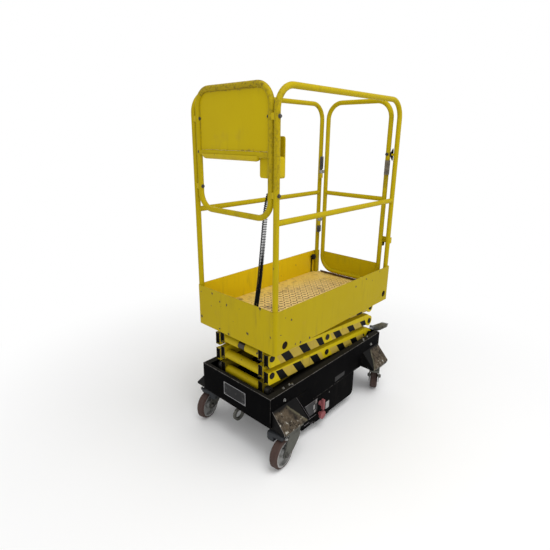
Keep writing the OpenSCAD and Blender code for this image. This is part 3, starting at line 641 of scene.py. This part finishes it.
# Finishes of the platform and the gate
def dress_platform():
    near_post = ((-0.53, -0.29, 1.40), (-0.48, -0.25, 1.79))
    top_bar = ((-0.53, -0.20, 1.780), (-0.48, 0.20, 1.82))
    near_leg = ((-0.53, -0.26, 1.42), (-0.48, -0.212, 1.80))
    latch_leg = ((0.48, -0.25, 1.33), (0.53, -0.19, 1.47))
    # Strips of painted shadow on the sign: in the gap by its left tube and under the top tube
    sign_seam_shadow = ((-0.52, 0.2313, 1.53), (-0.49, 0.2353, 1.79))
    sign_top_shadow = ((-0.52, -0.20, 1.7963), (-0.49, 0.20, 1.8003))

    def tube_coat(name, chips, grime, *handled):
        return yellow_coat(name, None, chips, grime, 26.0, knocks=0.14, handled=handled,
                           tone=YELLOW_TUBE)

    def sheet(node, name, chips=0.25, reach=0.0022, knocks=0.12, **finish):
        paint(yellow_coat(name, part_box(node), chips, 0.35, 13.0, reach, knocks=knocks, **finish),
              node)

    paint(tube_coat("tube_paint", 0.30, 0.3), "guard_rail_left", "hinge_clamps")
    paint(tube_coat("near_rail_paint", 0.32, 0.3, (near_post, 0.55)), "guard_rail_right")
    paint(tube_coat("front_loop_paint", 0.34, 0.4, (top_bar, 1.0), (near_leg, 0.6)), "front_loop")
    paint(tube_coat("gate_loop_paint", 0.30, 0.3, (latch_leg, 0.9)), "gate_loop")
    # The front and right walls take darker copies of the yellow: painted shade
    wall_shade_tones = {"tray_front": (0.45, 0.345, 0.003), "tray_right": (0.40, 0.31, 0.002)}
    for node, tone in wall_shade_tones.items():
        sheet(node, node + "_paint", 0.27, knocks=0.3, size=0.2, tone=tone)
    # The left wall's inner faces are painted lighter: painted light
    sheet("tray_left", "tray_left_paint", inner=-1)
    # On the sign the wide edge rub and the strips are painted shadow round the panel
    sheet("sign_panel", "sign_paint", reach=0.0055, handled=((sign_seam_shadow, 2.6), (sign_top_shadow, 1.6)))
    for node in ("kick_plate", "control_box", "control_bracket", "gate_stop"):
        sheet(node, node + "_paint")
    paint(deck_coat("deck_paint"), "deck")
    for node in ("deck_rails", "deck_lugs"):
        paint(yellow_coat(node + "_paint", None, 0.4, 0.5), node)
    clamp = yellow_coat("clamp_paint", None, 0.40, 0.5, 30.0, sheen=0.12, knocks=0.2)
    paint(clamp, "loop_clamps")
    paint(metal_finish("zinc_plate", (0.30, 0.30, 0.285), 0.5, 0.8), "gate_hinges")
    latch = metal_finish("latch_steel", (0.17, 0.145, 0.105), 0.5, 1.0, 0.4, (0.010, 0.008, 0.008))
    paint(latch, "gate_latch")
    paint(moulded_finish("gland_plastic", (0.014, 0.014, 0.015), 0.5), "cord_glands")


# Finishes of the scissor arms, their cross tubes and the lift cylinder
def dress_scissor():
    for k in (1, 2, 3):
        pin_z = sum(end[2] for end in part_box(f"outer_arms_{k}")) / 2
        shifts = (0.025, -0.010) if k == 1 else (0.0, 0.017)
        paint(hazard_coat(f"hazard_arm_{k}", pin_z, *shifts), f"outer_arms_{k}")
        # The lowest tier's inner arms are darkened: painted shade under the platform
        shade_share = 0.7 if k == 1 else 0.0
        paint(inner_arm_coat(f"inner_arm_paint_{k}", shade_share), f"inner_arms_{k}")
        paint(cross_tube_coat(f"cross_tube_paint_{k}"), f"inner_tubes_{k}")
    paint(black_coat("barrel_paint", None, 0.25), "ram_barrel")
    paint(metal_finish("greasy_chrome", (0.075, 0.068, 0.058), 0.34, 0.9), "ram_rod")
    greasy = metal_finish("greasy_steel", (0.035, 0.033, 0.03), 0.5, 0.7, 0.4,
                          (0.012, 0.010, 0.008))
    paint(greasy, "base_shaft", "base_rollers", "deck_rollers")


# Finishes of the chassis and the castors
def dress_chassis():
    paint(black_coat("chassis_paint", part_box("chassis_frame"), 0.3), "chassis_frame")
    for node in ("power_pack_box", "base_mounts"):
        paint(black_coat(node + "_paint", None, 0.3), node)
    paint(housing_coat("housing_paint"), "castor_brackets")
    fork = metal_finish("fork_steel", (0.115, 0.115, 0.10), 0.6, 0.8, 0.55, (0.03, 0.026, 0.02))
    cast = metal_finish("cast_centre", (0.40, 0.40, 0.39), 0.55, 0.6, 0.5)
    tread = moulded_finish("tread_rubber", (0.056, 0.031, 0.025), 0.78, 160.0, 0.6,
                           (0.09, 0.076, 0.068))
    paint(fork, "castor_plates", "tow_eye")
    for corner in CASTORS:
        paint(fork, "fork_" + corner)
        paint(cast, "rim_" + corner)
        paint(tread, "tyre_" + corner)
    red = moulded_finish("faded_red", (0.27, 0.075, 0.08), 0.6, 260.0, 0.55, (0.33, 0.17, 0.17))
    paint(red, "isolator_key", "stop_button")
    paint(data_plate_coat("data_plate_print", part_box("data_plate")), "data_plate")
    paint(black_coat("panel_paint", None, 0.35), "control_panel")
    paint(metal_finish("pedal_steel", (0.45, 0.46, 0.47), 0.5, 0.4), "brake_lever")
    paint(moulded_finish("battery_case", (0.03, 0.03, 0.032), 0.6), "battery_block")


dress_platform()
dress_scissor()
dress_chassis()


# Mesh helpers
def axes_for(axis):
    ahead = Vector(axis).normalized()
    start = Vector((0, 0, 1)) if abs(ahead.z) < 0.9 else Vector((1, 0, 0))
    side = start.cross(ahead).normalized()
    return side, ahead.cross(side), ahead


def circle(centre, side, up, radius, sides):
    angles = (2 * math.pi * k / sides for k in range(sides))
    return [centre + (side * math.cos(a) + up * math.sin(a)) * radius for a in angles]


# Faces between rings of points, and the first and last ring
def add_sides(bm, rings):
    rings = [[bm.verts.new(point) for point in ring] for ring in rings]
    for low_ring, high_ring in zip(rings, rings[1:]):
        for k in range(len(low_ring)):
            n = (k + 1) % len(low_ring)
            bm.faces.new((low_ring[k], low_ring[n], high_ring[n], high_ring[k]))
    return rings[0], rings[-1]


# Solid over rings of points, with one face at each end
def add_solid(bm, rings):
    first, last = add_sides(bm, rings)
    bm.faces.new(first[::-1])
    bm.faces.new(last)


# Bent strip, whose rings run out along one of its sides and back along the other
def add_strip(bm, rings):
    for ring in add_sides(bm, rings):
        back = ring[::-1]
        for k in range(len(ring) // 2 - 1):
            bm.faces.new((ring[k], ring[k + 1], back[k + 1], back[k]))


# Turned shape: its profile is rows of radius and height along the axis
def add_lathe(bm, place, axis, profile, sides):
    side, up, ahead = axes_for(axis)
    add_solid(bm, [circle(Vector(place) + ahead * rise, side, up, radius, sides)
                   for radius, rise in profile])


# Hexagon head on a washer
def add_bolt(bm, place, axis, across):
    radius, tall, sunk, top = across * 0.577, across * 0.55, 0.0005, 0.0016
    washer = ((radius * 1.45, -sunk), (radius * 1.45, 0.0012), (radius * 1.35, top))
    head = ((radius, top - sunk), (radius, top + tall * 0.8), (radius * 0.86, top + tall))
    add_lathe(bm, place, axis, washer, 18)
    add_lathe(bm, place, axis, head, 6)


def add_tube(bm, path, radius, sides):
    points = [Vector(p) for p in path]
    side = axes_for(points[1] - points[0])[0]
    rings = []
    for k, point in enumerate(points):
        before, after = points[max(0, k - 1)], points[min(len(points) - 1, k + 1)]
        ahead = (after - before).normalized()
        side = (side - ahead * side.dot(ahead)).normalized()
        rings.append(circle(point, side, ahead.cross(side), radius, sides))
    add_solid(bm, rings)


# Flat plate from an outline, with a bevelled front
def add_slab(bm, outline, ahead, thick, bevel):
    ahead = Vector(ahead).normalized()
    points = [Vector(p) for p in outline]
    centre = sum(points, Vector()) / len(points)
    diagonal = 1.414
    levels = ((0.0, 0.0), (thick - bevel, 0.0), (thick, bevel))
    add_solid(bm, [[p + ahead * rise + (centre - p).normalized() * inset * diagonal
                    for p in points] for rise, inset in levels])


# One piece from rows of a shape and its values, smooth between its creases
def build_piece(name, body, material, rows, crease=None):
    bm = bmesh.new()
    for shape, *values in rows:
        shape(bm, *values)
    bmesh.ops.recalc_face_normals(bm, faces=bm.faces)
    mesh = bpy.data.meshes.new(name)
    bm.to_mesh(mesh)
    bm.free()
    mesh.materials.append(material)
    piece = bpy.data.objects.new(name, mesh)
    bpy.context.scene.collection.objects.link(piece)
    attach(piece, body)
    if crease is not None:
        for face in mesh.polygons:
            face.use_smooth = True
        crisp = piece.modifiers.new("crisp_edges", "EDGE_SPLIT")
        crisp.split_angle = math.radians(crease)


CREASE, ROLL_CREASE, WIRE_CREASE = 35, 50, 60


# Raised lozenges of the tread plate deck, left out at its corners and round the cord's gland
def make_tread_plate():
    first_x, step, count, half_columns = -0.478, 0.0265, 37, 9
    length, flat, width = 0.0125, 0.005, 0.0036
    base, tall, bevel, gland_room = 0.6918, 0.0018, 0.0008, 0.03
    outline = ((length, 0), (flat, width), (-flat, width),
               (-length, 0), (-flat, -width), (flat, -width))
    gland_x, gland_y = CORD_ROUTE[-1][:2]
    rows = []
    for i in range(count):
        for j in range(-half_columns, half_columns + 1):
            x, y = first_x + i * step, j * step
            in_corner = abs(y) > 0.235 and (x < -0.468 or x > 0.462)
            if in_corner or math.hypot(x - gland_x, y - gland_y) < gland_room:
                continue
            lean = math.radians(45 if (i + j) % 2 else -45)
            along = Vector((math.cos(lean), math.sin(lean), 0))
            across = Vector((-along.y, along.x, 0))
            ring = [Vector((x, y, base)) + along * u + across * v for u, v in outline]
            rows.append((add_slab, ring, (0, 0, 1), tall, bevel))
    paint_coat = deck_coat("lozenge_paint", True)
    build_piece("deck_lozenges", "platform", paint_coat, rows)


# Bolts through the front loop's clamps and screws of the control box's face
def make_platform_bolts(steel):
    inner_y, outer_y, across, screw_x = 0.2216, 0.2809, 0.011, -0.4327
    screw = ((0.0045, -0.0005), (0.0045, 0.0012), (0.003, 0.0026))
    rows = []
    for z in (1.365, 1.675):
        for y, way in ((-inner_y, 1), (inner_y, -1), (-outer_y, -1)):
            rows.append((add_bolt, (LOOP_X, y, z), (0, way, 0), across))
    for z in (1.442, 1.588):
        for y in (-0.238, -0.169):
            rows.append((add_lathe, (screw_x, y, z), (1, 0, 0), screw, 14))
    build_piece("platform_bolts", "platform", steel, rows, CREASE)


# Lower edge of the sign, rolled under the loop's middle bar
def make_sign_roll(paint_coat):
    edge, bottom, radius, sheet, steps = 1.521, 1.5125, 0.0152, 0.0012, 12
    stations = ((-0.168, 0.012), (-0.160, 0.003), (-0.150, 0.0),
                (0.186, 0.0), (0.196, 0.003), (0.203, 0.012))
    angles = [math.pi * k / steps for k in range(1, steps)]
    outer = [(-radius, edge), (-radius, bottom)]
    outer += [(-radius * math.cos(a), bottom - radius * math.sin(a)) for a in angles]
    outer += [(radius, bottom), (radius, edge)]
    inner = [(x * (1 - sheet / radius), z + (sheet if z < bottom else 0.0))
             for x, z in outer[::-1]]
    rings = [[(LOOP_X + x, y, min(z + lift, edge)) for x, z in outer + inner]
             for y, lift in stations]
    rows = [(add_strip, rings)]
    build_piece("sign_roll", "platform", paint_coat, rows, ROLL_CREASE)


# Dark discs behind the tray's access holes: painted shade inside the holes, with the brown of rust
def make_hole_shades(rubber):
    wall_y, holes = 0.2795, ((-0.451, 0.660), (0.481, 0.670))
    cap = ((0.0235, 0.0), (0.0235, 0.0012), (0.017, 0.0010), (0.013, -0.004))
    rows = [(add_lathe, (x, side * wall_y, z), (0, side, 0), cap, 24)
            for side in (-1, 1) for x, z in holes]
    build_piece("hole_shades", "platform", rubber, rows, CREASE)


# Latch fork on the gate's leg and the keeper on the corner post
def make_latch_parts(dark, paint_coat):
    fork_x, fork_thick, keeper_x, keeper_thick = 0.499, 0.009, 0.497, 0.013
    claw = ((-0.2288, 1.495), (-0.2340, 1.497), (-0.2465, 1.474), (-0.2480, 1.484),
            (-0.2380, 1.503), (-0.2380, 1.513), (-0.2480, 1.532), (-0.2465, 1.542),
            (-0.2340, 1.519), (-0.2288, 1.521))
    stud = ((0.009, -0.004), (0.009, 0.004), (0.006, 0.007))
    tongue = ((-0.2555, 1.502), (-0.2440, 1.503), (-0.2415, 1.508), (-0.2440, 1.513),
              (-0.2555, 1.514))
    rings = [[(x, y, z) for y, z in claw] for x in (fork_x, fork_x + fork_thick)]
    fork = [(add_strip, rings), (add_lathe, (0.4895, -0.217, 1.509), (-1, 0, 0), stud, 16)]
    keeper = [(add_slab, [(keeper_x, y, z) for y, z in tongue], (1, 0, 0), keeper_thick, 0.0008)]
    build_piece("latch_fork", "gate", dark, fork, CREASE)
    build_piece("latch_keeper", "platform", paint_coat, keeper)


# Bolts of the chassis flanges and sides, and rivets of the data plate
def make_chassis_bolts(steel, dull):
    flange_z, side_y, plate_x = 0.3828, 0.2608, -0.5258
    flange_bolts = ((0.404, 0.238), (0.358, 0.238), (0.346, 0.247))
    rivet = ((0.0035, -0.0005), (0.0035, 0.0006), (0.002, 0.0016))
    bright, dark = [], []
    for end, side in ((-1, -1), (-1, 1), (1, -1), (1, 1)):
        for x, y in flange_bolts:
            bright.append((add_bolt, (end * x, side * y, flange_z), (0, 0, 1), 0.009))
        bright.append((add_bolt, (end * 0.421, side * side_y, 0.332), (0, side, 0), 0.011))
        dark.append((add_bolt, (end * 0.348, side * side_y, 0.290), (0, side, 0), 0.010))
    for y in (-0.0775, 0.0775):
        for z in (0.269, 0.331):
            bright.append((add_lathe, (plate_x, y, z), (-1, 0, 0), rivet, 12))
    build_piece("chassis_bolts", "chassis", steel, bright, CREASE)
    build_piece("chassis_side_bolts", "chassis", dull, dark, CREASE)


# Springs round the gate's hinge pins
def make_gate_springs(steel):
    axis_x, axis_y, turn_points = 0.483, 0.24225, 14
    springs = (("low_hinge_spring", "platform", 0.984, 1.026, 0.0125, 0.0030, 5),
               ("high_hinge_spring", "gate", 1.400, 1.478, 0.0105, 0.0026, 11))
    for name, body, z0, z1, radius, wire, turns in springs:
        count, tall = turns * turn_points, z1 - z0
        path = []
        for k in range(count + 1):
            angle = 2 * math.pi * k / turn_points
            path.append((axis_x + math.cos(angle) * radius, axis_y + math.sin(angle) * radius,
                         z0 + tall * k / count))
        pin = ((0.0055, 0.0), (0.0062, 0.001), (0.0062, tall + 0.006), (0.005, tall + 0.0075))
        rows = [(add_tube, path, wire, 7),
                (add_lathe, (axis_x, axis_y, z0 - 0.004), (0, 0, 1), pin, 16)]
        build_piece(name, body, steel, rows, WIRE_CREASE)


# Bumper under the gate stop, knob and its stay on the left wall, worn strip at the deck's end
def make_gate_end(rubber, worn):
    bumper = ((0.007, -0.001), (0.0125, 0.001), (0.0125, 0.016), (0.0105, 0.021), (0.005, 0.0225))
    rows = [(add_lathe, (0.5235, -0.222, 0.9853), (0, 0, -1), bumper, 20)]
    build_piece("gate_bumper", "platform", rubber, rows, CREASE)
    knob_x, stay_y, stay_radius = 0.462, 0.2780, 0.0040
    knob = ((0.008, -0.001), (0.008, 0.008), (0.017, 0.010), (0.019, 0.015), (0.019, 0.024),
            (0.016, 0.029), (0.006, 0.030))
    stay = [(knob_x, stay_y, z) for z in (0.800, 0.745, 0.694)]
    rows = [(add_tube, stay, stay_radius, 10),
            (add_lathe, (knob_x, 0.2812, 0.805), (0, -1, 0), knob, 24)]
    build_piece("wall_knob", "platform", rubber, rows, CREASE)
    end_x, low_y, high_y, base, top = 0.5185, -0.250, 0.236, 0.6915, 0.7035
    ring = [(end_x, low_y, base), (end_x, high_y, base), (end_x, high_y, top), (end_x, low_y, top)]
    rows = [(add_slab, ring, (-1, 0, 0), 0.006, 0.0008)]
    build_piece("deck_threshold", "platform", worn, rows)


# Push buttons and stop button on the platform's control box
def make_box_buttons(dark, red):
    face_x, stop_place = -0.4328, (-0.4328, -0.183, 1.466)
    button = ((0.010, -0.001), (0.010, 0.003), (0.0085, 0.0038), (0.0075, 0.0038),
              (0.0072, 0.007), (0.0055, 0.0078))
    collar = ((0.017, -0.001), (0.017, 0.004), (0.012, 0.0055), (0.010, 0.012))
    cap = ((0.011, 0.010), (0.0175, 0.012), (0.0185, 0.017), (0.016, 0.023), (0.008, 0.0255))
    rows = [(add_lathe, (face_x, y, 1.492), (1, 0, 0), button, 22) for y in (-0.229, -0.203)]
    rows.append((add_lathe, stop_place, (1, 0, 0), collar, 24))
    build_piece("box_buttons", "platform", dark, rows, CREASE)
    rows = [(add_lathe, stop_place, (1, 0, 0), cap, 26)]
    build_piece("box_stop", "platform", red, rows, CREASE)


# Plate on the chassis' right side, from an outline in x and z
def side_plate(outline, face_y, thick, bevel):
    return add_slab, [(x, face_y, z) for x, z in outline], (0, -1, 0), thick, bevel


# Cover sheet over the controls with a slanted front edge and bright worn lines
def make_side_cover(paint_coat, worn_edge):
    outline = ((-0.230, 0.300), (-0.175, 0.212), (-0.006, 0.212), (-0.006, 0.062),
               (-0.206, 0.062), (-0.206, 0.110), (-0.326, 0.300))
    front = [(x, -0.2626, z) for x, z in ((-0.3262, 0.2995), (-0.266, 0.205), (-0.2066, 0.1105))]
    lower = [(x, -0.2628, 0.066) for x in (-0.2035, -0.160, -0.120)]
    rows = [side_plate(outline, SIDE_Y, 0.0022, 0.0006)]
    build_piece("side_cover", "chassis", paint_coat, rows)
    rows = [(add_tube, front, 0.0011, 6), (add_tube, lower, 0.0010, 6)]
    build_piece("cover_edge", "chassis", worn_edge, rows, WIRE_CREASE)


# Switch backing, trims, blank plates and screws by the side controls, and a faded label
def make_panel_plates(plate, dark, worn_edge, field, faded):
    panel_y, backing_y, bevel = -0.2638, -0.2650, 0.0004
    backing = ((-0.207, 0.120), (-0.139, 0.122), (-0.142, 0.207), (-0.2545, 0.204))
    trims = ((-0.250, -0.152, 0.0775, 0.0805, SIDE_Y, 0.0016),
             (-0.212, -0.146, 0.1010, 0.1035, SIDE_Y, 0.0044),
             (-0.2545, -0.1415, 0.2035, 0.2065, backing_y, 0.0012))
    plates = ((-0.057, -0.024, 0.090, 0.136, panel_y, 0.0012),
              (-0.159, -0.1445, 0.178, 0.2025, backing_y, 0.0010),
              (-0.176, -0.1635, 0.148, 0.176, backing_y, 0.0010),
              (-0.170, -0.154, 0.126, 0.139, backing_y, 0.0010))
    label = ((0.030, 0.230), (0.128, 0.238), (0.128, 0.262), (0.030, 0.262))
    screw = ((0.005, -0.0005), (0.005, 0.0012), (0.0032, 0.0028))

    def oblongs(spans):
        return [side_plate(((x0, z0), (x1, z0), (x1, z1), (x0, z1)), face_y, thick, bevel)
                for x0, x1, z0, z1, face_y, thick in spans]

    rows = [side_plate(label, SIDE_Y, 0.0007, 0.0003)]
    build_piece("side_label", "chassis", faded, rows)
    rows = [side_plate(backing, -0.2606, 0.0046, 0.0005)]
    build_piece("switch_backing", "chassis", field, rows)
    build_piece("panel_trims", "chassis", worn_edge, oblongs(trims))
    build_piece("panel_plates", "chassis", plate, oblongs(plates))
    rows = [(add_lathe, (x, panel_y, z), (0, -1, 0), screw, 14)
            for x in (-0.162, -0.028) for z in (0.058, 0.192)]
    build_piece("panel_screws", "chassis", dark, rows, CREASE)


# A castor's swivel axis at the floor, the way ahead of it and the way along its axle
def castor_axes(corner):
    (x, y), yaw = CASTORS[corner]
    turn = math.radians(yaw)
    ahead = Vector((math.cos(turn), math.sin(turn), 0))
    return Vector((x, y, 0)), ahead, Vector((-ahead.y, ahead.x, 0))


# Bolt heads on both ends of the castors' axles
def make_castor_bolts(steel):
    half_axle = 0.0314
    for corner in CASTORS:
        hub = sum(map(Vector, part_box("tyre_" + corner)), Vector()) / 2
        across = castor_axes(corner)[2]
        rows = [(add_bolt, hub + across * way * half_axle, across * way, 0.019) for way in (-1, 1)]
        build_piece("axle_bolt_" + corner, "swivel_" + corner, steel, rows, CREASE)


# Webs that widen the castor forks' legs behind the wheels
def make_fork_webs(steel):
    inner_face, thick, bevel = 0.0270, 0.0040, 0.0006
    outline = ((-0.066, 0.172), (-0.064, 0.128), (-0.052, 0.108), (-0.030, 0.088),
               (-0.004, 0.070), (0.022, 0.0605), (0.050, 0.0600), (0.056, 0.100), (-0.040, 0.150))
    for corner in CASTORS:
        pivot, ahead, across = castor_axes(corner)
        rows = []
        for way in (-1, 1):
            face = pivot + across * way * inner_face
            ring = [face + ahead * u + Vector((0, 0, z)) for u, z in outline]
            rows.append((add_slab, ring, across * way, thick, bevel))
        build_piece("fork_webs_" + corner, "swivel_" + corner, steel, rows, CREASE)


# Foot brakes on the front castors, wider on their inner side
def make_foot_brakes(steel, bolt_steel):
    # Rows of place along the axle, span ahead, span of height and corner radius
    stations = ((-0.078, 0.042, 0.075, 0.152, 0.182, 0.006),
                (-0.074, 0.034, 0.082, 0.145, 0.189, 0.008),
                (-0.064, 0.030, 0.086, 0.141, 0.1915, 0.008),
                (-0.0345, 0.030, 0.086, 0.141, 0.1915, 0.008),
                (-0.0335, 0.030, 0.086, 0.1665, 0.1915, 0.008),
                (0.014, 0.030, 0.086, 0.1665, 0.1915, 0.008),
                (0.020, 0.036, 0.082, 0.169, 0.189, 0.006))
    for corner, hand in (("fr", 1), ("fl", -1)):
        pivot, ahead, across = castor_axes(corner)
        across = across * hand

        def spot(u, v, z):
            return pivot + ahead * u + across * v + Vector((0, 0, z))

        rings = []
        for v, u0, u1, z0, z1, r in stations:
            c = 0.3 * r
            outline = ((u0 + r, z0), (u1 - r, z0), (u1 - c, z0 + c), (u1, z0 + r), (u1, z1 - r),
                       (u1 - c, z1 - c), (u1 - r, z1), (u0 + r, z1), (u0, z1 - r), (u0, z0 + r))
            rings.append([spot(u, v, z) for u, z in outline])
        body, rows = "swivel_" + corner, [(add_solid, rings)]
        build_piece("foot_brake_" + corner, body, steel, rows, CREASE)
        rows = [(add_bolt, spot(0.066, 0.0312, 0.180), across, 0.012)]
        build_piece("brake_pins_" + corner, body, bolt_steel, rows, CREASE)


def make_pieces():
    soot = (0.008, 0.008, 0.008)
    steel = metal_finish("bolt_steel", (0.30, 0.30, 0.29), 0.45, 0.8)
    dark_steel = metal_finish("dark_bolt", (0.10, 0.095, 0.09), 0.5, 0.8)
    brake_steel = metal_finish("brake_steel", (0.030, 0.033, 0.037), 0.6, 0.6, 0.3,
                               (0.012, 0.011, 0.010))
    worn_edge = metal_finish("worn_edge", (0.17, 0.16, 0.165), 0.5, 0.5, 0.3)
    plate = metal_finish("blank_label", (0.46, 0.46, 0.45), 0.42, 0.5)
    faded = metal_finish("faded_label", (0.017, 0.016, 0.016), 0.6, 0.9, 0.0, soot)
    field = metal_finish("switch_field", (0.035, 0.035, 0.037), 0.45, 0.9, 0.3, soot)
    rubber = moulded_finish("bumper_rubber", (0.008, 0.0065, 0.0065), 0.6, 240.0, 0.5,
                            (0.035, 0.022, 0.018), 0.1)
    # Dark brown fill behind the tray's holes: painted shade, with the brown of rust
    hole_shade_fill = moulded_finish("hole_shade_paint", (0.012, 0.007, 0.004), 0.75, 240.0, 0.6,
                                (0.055, 0.030, 0.014), 0.08)
    worn_strip = moulded_finish("threshold_wear", (0.13, 0.075, 0.045), 0.6, 120.0, 0.6,
                                (0.34, 0.24, 0.04), 0.1)
    dark = moulded_finish("button_plastic", (0.015, 0.015, 0.016), 0.42)
    red = moulded_finish("stop_red", (0.30, 0.03, 0.028), 0.5)
    make_tread_plate()
    make_platform_bolts(dark_steel)
    make_sign_roll(yellow_coat("sign_roll_paint", None, 0.38, 0.4, 26.0, sheen=0.12))
    make_hole_shades(hole_shade_fill)
    make_latch_parts(dark, yellow_coat("keeper_paint", None, 0.4, 0.4, 30.0))
    make_chassis_bolts(steel, dark_steel)
    make_gate_springs(dark_steel)
    make_gate_end(rubber, worn_strip)
    make_box_buttons(dark, red)
    make_side_cover(black_coat("side_cover_paint", None, 0.3, dust=0.4), worn_edge)
    make_foot_brakes(brake_steel, steel)
    make_panel_plates(plate, dark_steel, worn_edge, field, faded)
    make_castor_bolts(dark_steel)
    make_fork_webs(nodes["fork_fr"].data.materials[0])


make_pieces()


# Pale floor that keeps the shadow near the lift and turns white away from it
def make_floor():
    size, shadow_near, shadow_far = 30.0, 0.75, 2.4
    mesh = bpy.data.meshes.new("studio_floor")
    corners = [(-size, -size, 0), (size, -size, 0), (size, size, 0), (-size, size, 0)]
    mesh.from_pydata(corners, [], [(0, 1, 2, 3)])
    floor = bpy.data.objects.new("studio_floor", mesh)
    bpy.context.scene.collection.objects.link(floor)
    material, tree, shader = new_material("studio_floor_paint", (0.9, 0.9, 0.9), 0.9, sheen=0.1)
    place = coordinate(tree)
    tone = blend(noise(place, 1.5), (0.89, 0.89, 0.89), (0.91, 0.91, 0.91))
    join(tone, shader.inputs["Base Color"])
    away = node_fed("ShaderNodeVectorMath", (0,), (place,), operation="LENGTH")["Value"]
    glow = add_node(tree, "ShaderNodeEmission")
    share = ramp(away, shadow_near, shadow_far)
    mix_shaders(share, shader, glow, tree.nodes["Material Output"])
    mesh.materials.append(material)


# World: soft light, white where the camera, gloss or glass sees it
def make_world():
    world = bpy.data.worlds.new("studio_world")
    world.use_nodes = True
    bpy.context.scene.world = world
    tree = world.node_tree
    back = tree.nodes["Background"]
    back.inputs["Strength"].default_value = 0.68
    back.inputs["Color"].default_value = (1, 1, 1, 1)
    seen = add_node(tree, "ShaderNodeBackground")
    seen.inputs["Color"].default_value = (1, 1, 1, 1)
    rays = add_node(tree, "ShaderNodeLightPath").outputs
    mirrored = larger(rays["Is Glossy Ray"], rays["Is Transmission Ray"])
    share = larger(rays["Is Camera Ray"], mirrored)
    mix_shaders(share, back, seen, tree.nodes["World Output"])


# Round soft lamp aimed at the lift
def make_lamp(name, place, aim, size, power):
    data = bpy.data.lights.new(name, "AREA")
    data.shape = "DISK"
    data.size = size
    data.energy = power
    light = bpy.data.objects.new(name, data)
    bpy.context.scene.collection.objects.link(light)
    light.location = place
    light.rotation_euler = (Vector(aim) - Vector(place)).to_track_quat("-Z", "Y").to_euler()


make_floor()
make_world()
make_lamp("roof_light", (-0.5, -1.7, 4.4), (0, 0, 0.7), 3.0, 92)
make_lamp("front_light", (-3.4, -2.6, 1.5), (0, 0, 0.6), 2.2, 24)
make_lamp("fill_light", (1.6, -3.8, 1.4), (0, 0, 0.6), 2.4, 17)
bpy.context.scene.view_settings.view_transform = "Standard"
